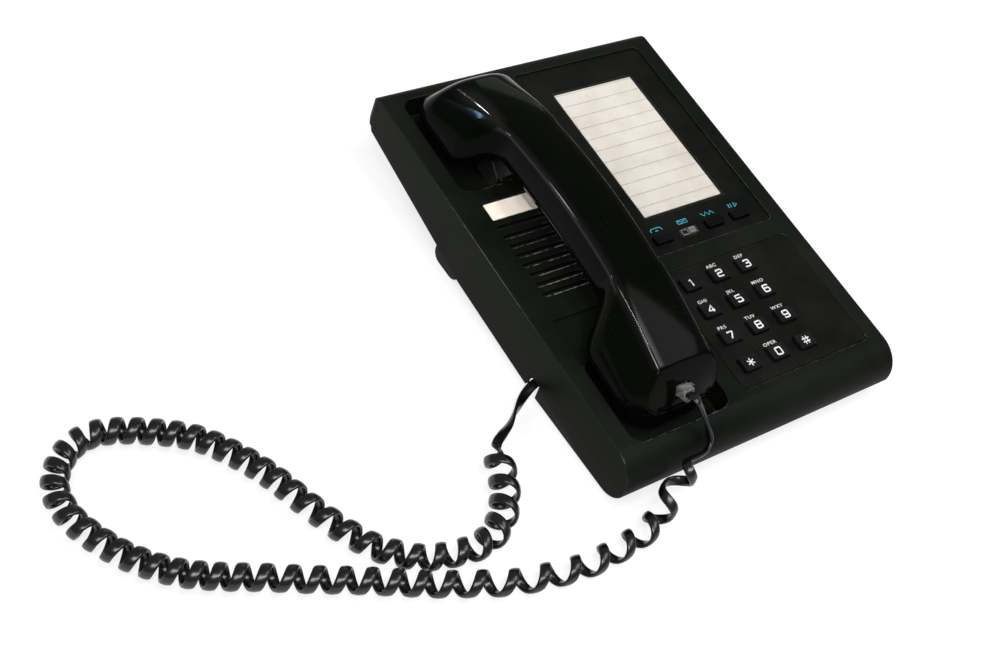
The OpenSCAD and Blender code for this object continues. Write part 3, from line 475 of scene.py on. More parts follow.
# Clear plastic: seen through, with dust and scratches that catch the light
def clearFinish(name, finish):
    material, tree, sockets = startMaterial(name, {"IOR": 1.49, "Specular IOR Level": finish["gloss"]})
    marks = placeGroup(tree, handlingMarks, {"Dust Scale": 380.0, "Dust Size": 0.1, "Scratch Scale": 45.0})
    grain = placeGroup(tree, mouldGrain, {"Grain": finish["grain"], "Patch": finish["patch"]})
    seen = mapRange(tree, grain["Patches"], 0.0, 1.0, *finish["alpha"])
    seen = mathNode(tree, "ADD", seen, times(tree, marks["Dust"], finish["dust"]))
    feed(tree, sockets, {
        "Base Color": mixColour(tree, grain["Patches"], finish["colour"], finish["patchColour"]),
        "Alpha": mathNode(tree, "ADD", seen, times(tree, marks["Scratches"], finish["hair"])),
        "Roughness": mapRange(tree, grain["Patches"], 0.0, 1.0, *finish["rough"]),
        "Normal": bumpNormal(tree, grain["Height"], finish["bump"], 0.04)})
    return material


# Paper: fibres and faint yellowing, with grey lines across a ruled card
def paperFinish(name, finish):
    material, tree, sockets = startMaterial(name, {"Specular IOR Level": 0.2})
    level = levelPlace(tree)
    fibres = noise(tree, mapped(tree, level, {"Scale": (1.0, 0.35, 1.0)}), 1900.0, 4.0, 0.7)
    stains = mapRange(tree, noise(tree, level, finish["stain"], 4.0, 0.6), 0.42, 0.72)
    colour = mixColour(tree, stains, finish["colour"], finish["stainColour"])
    shown = mapRange(tree, fibres, 0.45, 0.75, 0.0, 0.22)
    colour = mixColour(tree, shown, colour, finish["fibreColour"])
    if "lines" in finish:
        along = addNode(tree, "ShaderNodeSeparateXYZ", {0: level}).outputs[1]
        step = mathNode(tree, "FRACT", times(tree, along, 1 / (finish["lines"] * mm)))
        away = mathNode(tree, "ABSOLUTE", mathNode(tree, "SUBTRACT", step, 0.5))
        half = finish["lineWidth"] / finish["lines"] / 2
        drawn = mapRange(tree, away, half, half * 1.6, finish["lineDark"], 0.0)
        uneven = mapRange(tree, noise(tree, level, 700.0, 2.0), 0.3, 0.6, 0.45, 1.0)
        colour = mixColour(tree, times(tree, drawn, uneven), colour, finish["lineColour"])
    feed(tree, sockets, {
        "Base Color": colour, "Roughness": mapRange(tree, fibres, 0.3, 0.7, 0.75, 0.95),
        "Normal": bumpNormal(tree, fibres, 0.25, 0.03)})
    return material


# Woven cloth behind the sound slots
def clothFinish(name, finish):
    material, tree, sockets = startMaterial(name, {"Specular IOR Level": 0.2})
    wave = {"Vector": objectPlace(tree), "Scale": finish["threads"], "Distortion": 0.6}
    across, along = [
        addNode(tree, "ShaderNodeTexWave", wave, bands_direction=axis).outputs["Fac"] for axis in ("X", "Y")]
    weave = times(tree, across, along)
    feed(tree, sockets, {
        "Base Color": mixColour(tree, weave, finish["colour"], finish["thread"]),
        "Roughness": mapRange(tree, weave, 0.0, 1.0, 0.75, 0.95),
        "Normal": bumpNormal(tree, weave, 0.5, 0.1)})
    return material


# Circuit board: lacquered green with paler tracks and bright pads
def boardFinish(name, finish):
    material, tree, sockets = startMaterial(name, {"Specular IOR Level": 0.45})
    level = levelPlace(tree)
    bricks = addNode(tree, "ShaderNodeTexBrick", {
        "Vector": level, "Scale": 1.0, "Mortar Size": 0.0006, "Mortar Smooth": 0.1,
        "Brick Width": 0.011, "Row Height": 0.0045}).outputs["Fac"]
    padMask = mapRange(tree, cells(tree, level, 150.0, 0.6), 0.14, 0.18, 1.0, 0.0)
    colour = mixColour(tree, bricks, finish["colour"], finish["track"])
    feed(tree, sockets, {
        "Base Color": mixColour(tree, padMask, colour, finish["pad"]), "Metallic": padMask,
        "Roughness": mapRange(tree, padMask, 0.0, 1.0, 0.35, 0.22),
        "Normal": bumpNormal(tree, bricks, 0.3, 0.05)})
    return material


# Curled cord: satin sheath with drawing lines along it, on its own UV map
def cordFinish(name, finish):
    material, tree, sockets = startMaterial(name, {"Specular IOR Level": finish["gloss"], "IOR": 1.5})
    skin = addNode(tree, "ShaderNodeTexCoord").outputs["UV"]
    lines = noise(tree, mapped(tree, skin, {"Scale": (26.0, 120.0, 1.0)}), 1.0, 2.0)
    grain = placeGroup(tree, mouldGrain, {"Grain": 1500.0, "Patch": 40.0})
    marks = placeGroup(tree, handlingMarks, {"Dust Scale": 500.0, "Dust Size": 0.1, "Scratch Scale": 70.0})
    colour = mixColour(tree, grain["Patches"], finish["colour"], finish["patchColour"])
    height = mathNode(tree, "ADD", lines, grain["Height"])
    feed(tree, sockets, {
        "Base Color": mixColour(tree, times(tree, marks["Dust"], 0.06), colour, finish["dustColour"]),
        "Roughness": mapRange(tree, lines, 0.25, 0.75, *finish["rough"]),
        "Normal": bumpNormal(tree, height, 0.012, 0.02)})
    return material


# Lamp lens: smoky plastic with a dark window and a paler one, each edged by a painted highlight
def lensFinish(name, finish):
    material, tree, sockets = startMaterial(name, {"Specular IOR Level": 0.3})
    level = levelPlace(tree)
    spot = addNode(tree, "ShaderNodeSeparateXYZ", {0: level}).outputs
    streaks = noise(tree, level, 900.0, 4.0, 0.65)
    colour = mixColour(tree, mapRange(tree, streaks, 0.35, 0.65), finish["colour"], finish["pale"])
    for window in finish["windows"]:
        away = []
        for axis in (0, 1):
            offset = mathNode(tree, "SUBTRACT", spot[axis], window["at"][axis] * mm)
            offset = mathNode(tree, "ABSOLUTE", offset)
            away.append(mathNode(tree, "SUBTRACT", offset, window["half"][axis] * mm))
        farthest = mathNode(tree, "MAXIMUM", *away)
        edge = mapRange(tree, mathNode(tree, "ABSOLUTE", farthest), 0.1 * mm, 0.3 * mm, 0.8, 0.0)
        inside = mapRange(tree, farthest, -0.1 * mm, 0.1 * mm, 1.0, 0.0)
        colour = mixColour(tree, times(tree, inside, 0.9), colour, window["colour"])
        # Painted highlight along the window's edge
        colour = mixColour(tree, times(tree, edge, streaks), colour, finish["edge"])
    feed(tree, sockets, {
        "Base Color": colour, "Roughness": mapRange(tree, streaks, 0.3, 0.7, 0.16, 0.36),
        "Normal": bumpNormal(tree, streaks, 0.3, 0.1)})
    return material


# White or cyan print on the plastic, thin in places
def printFinish(name, finish):
    material, tree, sockets = startMaterial(name, {"Specular IOR Level": 0.25})
    thin = mapRange(tree, noise(tree, objectPlace(tree), 900.0), 0.45, 0.75)
    feed(tree, sockets, {
        "Base Color": mixColour(tree, thin, finish["colour"], finish["thin"]),
        "Roughness": mapRange(tree, thin, 0.0, 1.0, 0.4, 0.6), "Normal": bumpNormal(tree, thin, 0.1, 0.02)})
    return material


# The faint green cast in the housing, panel, key and handset blacks is a painted reflection of green
# surroundings
housingBlack = mouldedFinish("housingBlack", {
    "colour": (0.0052, 0.0072, 0.0048), "patchColour": (0.0102, 0.0124, 0.0094), "rough": (0.38, 0.54),
    "gloss": 0.04, "grain": 1500.0, "patch": 16.0, "bump": 0.35, "depth": 0.06, "dust": 0.35, "glintRub": 0.9,
    "glintRubColour": (0.34, 0.34, 0.32), "break": 260.0, "polish": 0.3})
baseBlack = mouldedFinish("baseBlack", {
    "colour": (0.0095, 0.0095, 0.0072), "patchColour": (0.0145, 0.014, 0.011), "rough": (0.45, 0.6),
    "gloss": 0.045, "grain": 1300.0, "patch": 22.0, "bump": 0.4, "depth": 0.07, "dust": 0.4, "glintRub": 0.4})
panelBlack = mouldedFinish("panelBlack", {
    "colour": (0.0044, 0.0052, 0.0042), "patchColour": (0.0098, 0.0106, 0.0094), "rough": (0.4, 0.56),
    "gloss": 0.05, "grain": 2100.0, "patch": 34.0, "bump": 0.4, "depth": 0.05, "dust": 0.5, "glintRub": 0.7,
    "glintRubColour": (0.05, 0.052, 0.048), "break": 200.0, "scratchDepth": 0.8})
keyBlack = mouldedFinish("keyBlack", {
    "colour": (0.0052, 0.0056, 0.0052), "patchColour": (0.0088, 0.0092, 0.0088), "rough": (0.34, 0.46),
    "gloss": 0.1, "grain": 2400.0, "patch": 60.0, "bump": 0.25, "depth": 0.03, "dust": 0.2, "glintRub": 0.4,
    "polish": 0.2})
buttonBlack = mouldedFinish("buttonBlack", {
    "colour": (0.0014, 0.0016, 0.0014), "patchColour": (0.0034, 0.0036, 0.0034), "rough": (0.22, 0.32),
    "gloss": 0.12, "grain": 2200.0, "patch": 60.0, "bump": 0.2, "depth": 0.03, "dust": 0.15, "glintRub": 0.2})
handsetGloss = mouldedFinish("handsetGloss", {
    "colour": (0.0012, 0.002, 0.0011), "patchColour": (0.0022, 0.0032, 0.002), "rough": (0.07, 0.13),
    "gloss": 0.035, "grain": 700.0, "patch": 12.0, "bump": 0.05, "depth": 0.03, "dust": 0.25, "glintRub": 0.0,
    "scratchDepth": 0.5, "scratchRough": 0.2, "polish": 0.9, "coatRough": 0.06})
jackBlack = mouldedFinish("jackBlack", {
    "colour": (0.01, 0.01, 0.01), "patchColour": (0.018, 0.018, 0.018), "rough": (0.35, 0.5),
    "grain": 1800.0})
switchDark = mouldedFinish("switchDark", {
    "colour": (0.03, 0.028, 0.024), "patchColour": (0.045, 0.042, 0.036), "rough": (0.4, 0.55),
    "grain": 1800.0})
hookGrey = mouldedFinish("hookGrey", {
    "colour": (0.022, 0.021, 0.02), "patchColour": (0.045, 0.044, 0.042), "rough": (0.2, 0.32),
    "gloss": 0.4, "grain": 1400.0, "patch": 80.0, "bump": 0.1, "dust": 0.2, "scratchDepth": 0.0,
    "scratchRough": 0.0})
footRubber = mouldedFinish("footRubber", {
    "colour": (0.014, 0.014, 0.0135), "patchColour": (0.026, 0.025, 0.024), "rough": (0.7, 0.85),
    "gloss": 0.2, "grain": 1100.0, "patch": 70.0, "bump": 0.5, "depth": 0.08, "dust": 0.6})
matRubber = mouldedFinish("matRubber", {
    "colour": (0.24, 0.25, 0.24), "patchColour": (0.3, 0.31, 0.3), "rough": (0.6, 0.75), "grain": 1500.0})
speakerGrey = mouldedFinish("speakerGrey", {
    "colour": (0.06, 0.06, 0.058), "patchColour": (0.09, 0.09, 0.086), "rough": (0.55, 0.75),
    "grain": 1200.0})
ledRed = mouldedFinish("ledRed", {
    "colour": (0.42, 0.05, 0.025), "patchColour": (0.5, 0.08, 0.04), "rough": (0.12, 0.2), "gloss": 0.5,
    "grain": 900.0, "bump": 0.05})
lensGrey = lensFinish("lensGrey", {
    "colour": (0.012, 0.012, 0.0115), "pale": (0.05, 0.05, 0.048), "edge": (0.5, 0.5, 0.49),
    "windows": [
        {"at": (24.3, -10.3), "half": (1.9, 1.5), "colour": (0.006, 0.006, 0.006)},
        {"at": (29.4, -10.0), "half": (1.8, 1.5), "colour": (0.16, 0.16, 0.155)}]})
steelBright = metalFinish("steelBright", {
    "colour": (0.56, 0.56, 0.55), "tarnish": (0.42, 0.41, 0.39), "stretch": (1, 1, 9), "scale": 700.0,
    "rough": (0.22, 0.4)})
capsuleMetal = metalFinish("capsuleMetal", {
    "colour": (0.6, 0.58, 0.53), "tarnish": (0.44, 0.4, 0.33), "stretch": (1, 1, 6), "scale": 500.0,
    "rough": (0.3, 0.48)})
weightIron = metalFinish("weightIron", {
    "colour": (0.2, 0.2, 0.2), "tarnish": (0.13, 0.11, 0.09), "stretch": (1, 1, 1), "scale": 900.0,
    "rough": (0.5, 0.7)})
contactGold = metalFinish("contactGold", {
    "colour": (0.78, 0.56, 0.22), "tarnish": (0.6, 0.42, 0.17), "stretch": (1, 1, 8), "scale": 1500.0,
    "rough": (0.2, 0.32)})
windowClear = clearFinish("windowClear", {
    "colour": (0.4, 0.4, 0.38), "patchColour": (0.3, 0.3, 0.28), "alpha": (0.012, 0.03),
    "rough": (0.06, 0.14), "gloss": 0.15, "grain": 500.0, "patch": 30.0, "dust": 0.25, "hair": 0.06,
    "bump": 0.05})
plugClear = clearFinish("plugClear", {
    "colour": (0.66, 0.68, 0.63), "patchColour": (0.12, 0.125, 0.115), "alpha": (0.2, 0.42),
    "rough": (0.06, 0.16), "gloss": 0.6, "grain": 600.0, "patch": 330.0, "dust": 0.3, "hair": 0.05,
    "bump": 0.1})
cardPaper = paperFinish("cardPaper", {
    "colour": (0.77, 0.725, 0.665), "stainColour": (0.69, 0.63, 0.55), "fibreColour": (0.6, 0.56, 0.5),
    "stain": 60.0, "lines": 8.3, "lineWidth": 0.45, "lineDark": 0.5, "lineColour": (0.2, 0.2, 0.2)})
numberPaper = paperFinish("numberPaper", {
    "colour": (0.97, 0.89, 0.78), "stainColour": (0.9, 0.8, 0.67), "fibreColour": (0.8, 0.72, 0.62),
    "stain": 110.0})
clothBlack = clothFinish("clothBlack", {
    "colour": (0.003, 0.003, 0.003), "thread": (0.012, 0.012, 0.012), "threads": 900.0})
boardGreen = boardFinish("boardGreen", {
    "colour": (0.02, 0.1, 0.035), "track": (0.05, 0.2, 0.07), "pad": (0.62, 0.6, 0.55)})
cordBlack = cordFinish("cordBlack", {
    "colour": (0.0032, 0.0036, 0.0032), "patchColour": (0.0055, 0.0058, 0.0054), "rough": (0.22, 0.28),
    "gloss": 0.55, "dustColour": (0.3, 0.29, 0.26)})
printWhite = printFinish("printWhite", {"colour": (0.86, 0.86, 0.84), "thin": (0.62, 0.62, 0.6)})
printCyan = printFinish("printCyan", {"colour": (0.05, 0.36, 0.44), "thin": (0.03, 0.22, 0.28)})
print("finishes built")


def easeStep(low, high, value):
    k = min(1.0, max(0.0, (value - low) / (high - low)))
    return k * k * (3 - 2 * k)


def lookUp(table, value):
    for (a, x), (b, y) in zip(table, table[1:]):
        if value <= b:
            return x + (y - x) * max(0.0, (value - a) / (b - a))
    return table[-1][1]


mouthEnd = {"t": 94.3, "h": 26.857, "lean": radians(28), "jackHigh": 13.0}
plugForm = {"wide": 7.6, "thick": 6.6, "inside": 10.0, "outside": 4.5, "latchWide": 3.2, "latchThick": 1.3}
basePlug = {"at": (-75.0, -49.0, 8.0), "turn": radians(90)}
leanSin, leanCos = sin(mouthEnd["lean"]), cos(mouthEnd["lean"])
jackBack = (mouthEnd["h"] - mouthEnd["jackHigh"]) * tan(mouthEnd["lean"])
mouthSpot = Vector((0, -mouthEnd["t"] - jackBack, mouthEnd["jackHigh"]))
mouthOut = Vector((0, -leanCos, leanSin))
mouthTurn = Matrix(((-1, 0, 0), mouthOut, (0, leanSin, leanCos))).transposed().to_4x4()
mouthMatrix = handsetMatrix @ Matrix.Translation(mouthSpot * mm) @ mouthTurn
basePlugMatrix = Matrix.Translation(Vector(basePlug["at"]) * mm) @ Matrix.Rotation(basePlug["turn"], 4, "Z")

curlyCord = {
    "wide": 5.0, "thick": 2.2, "shift": (0, -1.1, 0),
    "firstHigh": 7.8, "midHigh": 7.2, "high": 6.6,
    "leadIn": [(-90, -48.5, 7.4), (-97, -51.5, 5.5), (-105, -57, 4.5), (-113, -63, 5), (-120, -67, 6.5)],
    "firstCurls": [(-127, -72), (-131, -81), (-135, -91), (-140, -99), (-147, -107)],
    "midCurls": [(-155, -112), (-164, -114)],
    "curls": [
        (-173, -113), (-182, -111), (-190, -108), (-197, -103), (-205, -96), (-213, -84), (-218, -74),
        (-223, -62), (-230, -44), (-239, -28), (-251, -13), (-266, -3), (-281, 4), (-292, 6), (-302, 3),
        (-310, -4), (-315, -13), (-316, -22), (-314, -33), (-308, -46), (-300, -58), (-288, -70),
        (-274, -79), (-256, -88), (-239, -97), (-223, -105), (-206, -114), (-189, -123), (-171, -131),
        (-159, -136), (-143, -140), (-125, -143), (-109, -143), (-93, -141.5)],
    "climb": [
        (-83, -139.5, 7.3), (-75.5, -136, 8.8), (-69.5, -133, 13), (-65.5, -130.8, 19.5), (-61.5, -128.5, 26),
        (-57, -126.5, 29.5)],
    "leadOut": [
        (-51, -125.6, 28), (-46, -124.3, 27.2), (-42.8, -121.6, 30), (-44, -116.4, 37.6),
        (-46.8, -110.8, 45.3)],
    "pitch": [
        (0, 11.5), (60, 11.2), (80, 10.7), (140, 10.4), (160, 8.4), (360, 8.4), (385, 10.9), (450, 11.5),
        (480, 15), (570, 16), (590, 19)],
    "radius": [(0, 6.3), (40, 6.3), (70, 5.1)], "lastRadius": 5.6, "lastStops": (45, 20),
    "easeIn": 9, "easeOut": 6, "look": 2, "steps": 6, "sides": 8, "finer": 3, "leadStep": 1.2, "shade": 50,
    "liftFrom": (-93, -142.6, 6.6), "liftBy": (28.9, -9.6, 37.1),
}


# A curve through the points: the distance to each of its steps, and the place at any distance
def smoothRoute(points, steps):
    padded = [points[0], *points, points[-1]]
    line = []
    for a, b, c, d in zip(padded, padded[1:], padded[2:], padded[3:]):
        for j in range(steps):
            u = j / steps
            line.append(0.5 * (2 * b + (c - a) * u + (2 * a - 5 * b + 4 * c - d) * u * u
                               + (3 * b - a - 3 * c + d) * u ** 3))
    line.append(points[-1])
    reach = [0.0]
    for a, b in zip(line, line[1:]):
        reach.append(reach[-1] + (b - a).length)

    def at(s):
        s = min(reach[-1], max(0.0, s))
        high = min(len(reach) - 1, bisect_right(reach, s))
        low = high - 1
        return line[low].lerp(line[high], (s - reach[low]) / (reach[high] - reach[low]))

    return reach, at


# The distance and the angle round the coil of each ring, with the straight ends eased into it
def cordStops(form, coilStart, coilEnd, total):
    coarse, d = [], 0.0
    while d < coilEnd - coilStart:
        coarse.append((coilStart + d, 90 - len(coarse) * 360 / form["sides"]))
        d += lookUp(form["pitch"], d) / form["sides"]
    stops = []
    for (s0, a0), (s1, a1) in zip(coarse, coarse[1:]):
        for j in range(form["finer"]):
            u = j / form["finer"]
            stops.append((s0 + (s1 - s0) * u, a0 + (a1 - a0) * u))
    stops.append(coarse[-1])
    lastAngle = coarse[-1][1]
    plugAngle = 90 + 180 * floor((lastAngle - 90) / 180)
    inLength, outLength = coilStart - form["wide"], total - form["wide"] - coilEnd
    inCount, outCount = ceil(inLength / form["leadStep"]), ceil(outLength / form["leadStep"])
    before, after = [(0.0, 270.0)], []
    for k in range(inCount):
        before.append((form["wide"] + inLength * k / inCount, 90 + 180 * (1 - easeStep(0, 1, k / inCount))))
    for k in range(1, outCount + 1):
        turned = (plugAngle - lastAngle) * easeStep(0, 1, k / outCount)
        after.append((coilEnd + outLength * k / outCount, lastAngle + turned))
    return before + stops + after + [(total, plugAngle)]


# The ribbon's centre, width and thickness directions, ring by ring
def cordRings(form):
    plugOut = mouthMatrix.to_3x3() @ Vector((0, 1, 0))
    baseEnd, plugEnd = [
        place @ Vector((0, plugForm["outside"] * mm, 0)) / mm for place in (basePlugMatrix, mouthMatrix)]
    coil = [(*p, form["firstHigh"]) for p in form["firstCurls"]]
    coil += [(*p, form["midHigh"]) for p in form["midCurls"]]
    coil += [(*p, form["high"]) for p in form["curls"]] + form["climb"]
    shift = Vector(form["shift"])
    between = [Vector(p) + shift for p in form["leadIn"] + coil + form["leadOut"]]
    baseExit, plugExit = baseEnd - Vector((form["wide"], 0, 0)), plugEnd + plugOut * form["wide"]
    reach, at = smoothRoute([baseEnd, baseExit, *between, plugExit, plugEnd], form["steps"])
    coilStart = reach[(len(form["leadIn"]) + 2) * form["steps"]]
    coilEnd = reach[(len(form["leadIn"]) + 1 + len(coil)) * form["steps"]]
    coilLength = coilEnd - coilStart
    plain, last = [coilLength - stop for stop in form["lastStops"]]
    radii = form["radius"] + [(plain, form["radius"][-1][1]), (last, form["lastRadius"])]

    def spoke(s, angle):
        heading = (at(s + form["look"]) - at(s - form["look"])).normalized()
        sideways = Vector((0, 0, 1)).cross(heading).normalized()
        return cos(angle) * sideways + sin(angle) * heading.cross(sideways)

    def centre(s, angle):
        d = s - coilStart
        if not 0 < d < coilLength:
            return at(s)
        radius = lookUp(radii, d) * easeStep(0, form["easeIn"], d)
        radius *= easeStep(0, form["easeOut"], coilLength - d)
        return at(s) + radius * spoke(s, radians(angle))

    stops = cordStops(form, coilStart, coilEnd, reach[-1])
    centres = [centre(*stop) for stop in stops]
    headings = [(after - before).normalized() for before, after in zip(centres, centres[2:])]
    rings = []
    for (s, angle), middle, along in zip(stops, centres, [Vector((-1, 0, 0)), *headings, -plugOut]):
        radial = spoke(s, radians(angle))
        thin = (radial - along * radial.dot(along)).normalized()
        rings.append((middle, along.cross(thin), thin))
    return rings


# A flat ribbon with round edges and slightly full faces
def cordSection(form, edgePoints=6, full=0.8):
    half, thick = form["wide"] / 2, form["thick"] / 2
    cap = thick * full
    section = []
    for side in (1, -1):
        for k in range(edgePoints):
            angle = radians(-90 + 180 * k / (edgePoints - 1))
            section.append((side * (half - cap + cap * cos(angle)), side * cap * sin(angle)))
        for k in (0.5, 0.0, -0.5):
            section.append((side * k * (half - cap), side * (thick - (thick - cap) * k * k)))
    return section


rings = cordRings(curlyCord)
section = cordSection(curlyCord)


def cordPoint(row, column):
    centre, wide, thin = rings[row]
    return centre + section[column][0] * wide + section[column][1] * thin


cord = rollGrid("curlyCord", len(rings), len(section), cordPoint)
smooth(cord, curlyCord["shade"])
cordPath = [ring[0] * mm for ring in rings]
cordLength = sum((b - a).length for a, b in zip(cordPath, cordPath[1:]))
give(cord, cordBlack, slot="cord_black", replaces=("handset_cord",))
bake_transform(cord)
print("cord laid,", len(rings), "rings,", round(cordLength, 3), "m")

clearPlug = {
    "endShrink": (0.84, 1, 0.72), "mouthRim": 0.9, "mouthDeep": 1.4, "longEdge": 5.0, "round": 0.5,
    "soft": 0.18, "softAngle": radians(50), "latchFrom": 0.8, "latchSink": 0.2, "latchShrink": (0.8, 1, 0.7),
    "ribs": 3, "ribFrom": 1.0, "ribPitch": 1.1, "ribLong": 0.5, "ribDeep": 0.35, "ribSink": 0.1,
    "contacts": 4, "contactPitch": 1.27, "contactWide": 0.5, "contactIn": 0.4, "contactEnd": -4.5,
    "contactDeep": (2.6, 0.25), "contactSoft": 0.08,
}


def makePlug(name):
    form = clearPlug
    inside, outside = plugForm["inside"], plugForm["outside"]
    w, t, latchHalf = plugForm["wide"] / 2, plugForm["thick"] / 2, plugForm["latchWide"] / 2
    body = addBlock(name, (-w, -inside, -t), (w, outside, t))
    openMesh(body)
    choose(body, "FACE", lambda f: f.normal.y > faceAim)
    bpy.ops.transform.resize(value=form["endShrink"])
    bpy.ops.mesh.inset(thickness=form["mouthRim"] * mm)
    bpy.ops.mesh.extrude_region_move(TRANSFORM_OT_translate={"value": (0, -form["mouthDeep"] * mm, 0)})
    choose(body, "EDGE", lambda e: abs(e.verts[0].co.y - e.verts[1].co.y) > form["longEdge"] * mm)
    bpy.ops.mesh.bevel(offset=form["round"] * mm, segments=3, affect="EDGES")
    closeMesh()
    latchLow = (-latchHalf, form["latchFrom"], -t - plugForm["latchThick"])
    latch = addBlock(name + "Latch", latchLow, (latchHalf, outside, -t + form["latchSink"]))
    openMesh(latch)
    choose(latch, "FACE", lambda f: f.normal.y > faceAim)
    bpy.ops.transform.resize(value=form["latchShrink"])
    closeMesh()
    ribs = []
    low, high = t - form["ribSink"], t + form["ribDeep"] - form["ribSink"]
    for k in range(form["ribs"]):
        y = form["ribFrom"] + form["ribPitch"] * k
        ribs.append(addBlock(name + "Rib", (-w, y, low), (w, y + form["ribLong"], high)))
    plug = joinPieces([body, latch, *ribs], name)
    softEdges(plug, form["soft"], form["softAngle"])
    coat(plug, plugClear)
    contacts = []
    half = form["contactWide"] / 2
    low, high = [t - deep for deep in form["contactDeep"]]
    for k in range(form["contacts"]):
        x = (k - (form["contacts"] - 1) / 2) * form["contactPitch"]
        corner = (x - half, form["contactIn"] - inside, low)
        contacts.append(addBlock(name + "Contact", corner, (x + half, form["contactEnd"], high)))
    blades = joinPieces(contacts, name + "Contacts")
    applyModifier(blades, "BEVEL", width=form["contactSoft"] * mm, segments=1, limit_method="ANGLE")
    coat(blades, contactGold)
    return joinPieces([plug, blades], name)


plugAtBase = makePlug("plugAtBase")
plugAtHandset = copyPiece(plugAtBase, "plugAtHandset")
plugSpots = (
    (plugAtBase, basePlugMatrix, "base", "cord_plug_base"),
    (plugAtHandset, mouthMatrix, "handset", "cord_plug_handset"))
for plug, place, body, node in plugSpots:
    settle(plug, place)
    smooth(plug)
    finishPiece(plug, body, "plug_clear", (node,))
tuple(cordPath[0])
[list(p) for p in cordPath]
print("plugs made")

bodyEdges = {
    "side": 89.0, "wide": 0.9, "fine": 0.4, "seam": 0.2, "narrow": 0.45, "lip": 0.75,
    "corner": (80.0, 110.0), "cornerStep": 8.0, "notch": (-62.0, -36.0), "front": -85.0,
    "slot": (-76.0, -22.0, 45.0, 52.0), "wornAndGlint": (-78.0, -20.0, -46.0, 14.0), "faint": 0.3,
    "lean": 0.6, "lipAim": 0.5,
}


def onSide(edge):
    return all(abs(vertex.co.x) > bodyEdges["side"] * mm for vertex in edge.verts)


# The rear corners are round already
def onCorner(edge):
    across, rear = bodyEdges["corner"]
    atRear = any(vertex.co.y > rear * mm for vertex in edge.verts)
    atSide = all(abs(vertex.co.x) > across * mm for vertex in edge.verts)
    return atRear and atSide and edge.calc_length() < bodyEdges["cornerStep"] * mm


# The front lip of a sound slot
def onLip(edge):
    left, right, shortest, longest = [size * mm for size in bodyEdges["slot"]]
    inside = all(left < vertex.co.x < right for vertex in edge.verts)
    facings = [face.normal for face in edge.link_faces]
    turned = all(any(f[axis] > bodyEdges["lipAim"] for f in facings) for axis in (1, 2))
    return inside and turned and shortest < edge.calc_length() < longest


def housingWidth(edge):
    if onCorner(edge):
        return 0.0
    if onLip(edge):
        return bodyEdges["lip"]
    outer = onSide(edge) and all(face.normal.z > -bodyEdges["lean"] for face in edge.link_faces)
    return bodyEdges["wide"] if outer else bodyEdges["fine"]


def shellWidth(edge):
    low, high = bodyEdges["notch"]
    outer = onSide(edge) and all(face.normal.z < bodyEdges["lean"] for face in edge.link_faces)
    front = all(vertex.co.y < bodyEdges["front"] * mm for vertex in edge.verts)
    notch = all(low * mm < vertex.co.y < high * mm for vertex in edge.verts)
    return 0.0 if onCorner(edge) or notch else bodyEdges["wide"] if outer and front else bodyEdges["seam"]


# The pale edge colour, partly wear and partly painted highlight, is strongest on the lips between the sound
# slots
def housingGlintWear(spot):
    left, right, low, high = [size * mm for size in bodyEdges["wornAndGlint"]]
    return 1.0 if left < spot.x < right and low < spot.y < high else bodyEdges["faint"]


dressedNodes = {
    "upper_housing": {
        "name": "housing", "round": housingWidth, "segments": 4, "finish": housingBlack,
        "slot": "housing_black", "glintWear": housingGlintWear},
    "base_shell": {
        "name": "lowerShell", "round": shellWidth, "segments": 3, "finish": baseBlack, "slot": "base_black"},
    "front_feet": {
        "name": "frontFeet", "round": 0.5, "segments": 3, "finish": footRubber, "slot": "foot_rubber"},
    "rear_feet": {
        "name": "rearFeet", "round": 0.9, "segments": 3, "finish": footRubber, "slot": "foot_rubber"},
    "hanger_tab": {
        "name": "hangerTab", "round": 0.5, "segments": 3, "finish": housingBlack, "slot": "housing_black"},
    "hook_plunger": {
        "name": "hookPlunger", "round": 0.7, "segments": 3, "finish": hookGrey, "slot": "hook_grey",
        "body": "hook"},
    "function_panel": {
        "name": "functionPanel", "round": 0.35, "segments": 2, "finish": panelBlack, "slot": "panel_black"},
    "dial_panel": {
        "name": "dialPanel", "round": 0.35, "segments": 2, "finish": panelBlack, "slot": "panel_black"},
}
for node, form in dressedNodes.items():
    piece = roundedNode(node, form["name"], form["round"], form["segments"])
    markPolishAndGlint(piece, bodyEdges["narrow"], form.get("glintWear", evenGlintWear))
    give(piece, form["finish"], form.get("body", "base"), form["slot"], (node,))
print("body dressed")

capForm = {
    "corner": 1.0, "upright": 1.0, "flange": 1.2, "flangeDeep": 1.5, "stemDeep": 1.2, "gap": 0.3,
    "taper": 0.95, "rim": 1.0, "topSkin": 0.1, "soft": 0.22, "softAngle": radians(40), "narrow": 0.2,
}


def dropFaces(deep):
    bpy.ops.mesh.extrude_region_move(TRANSFORM_OT_translate={"value": (0, 0, -deep * mm)})


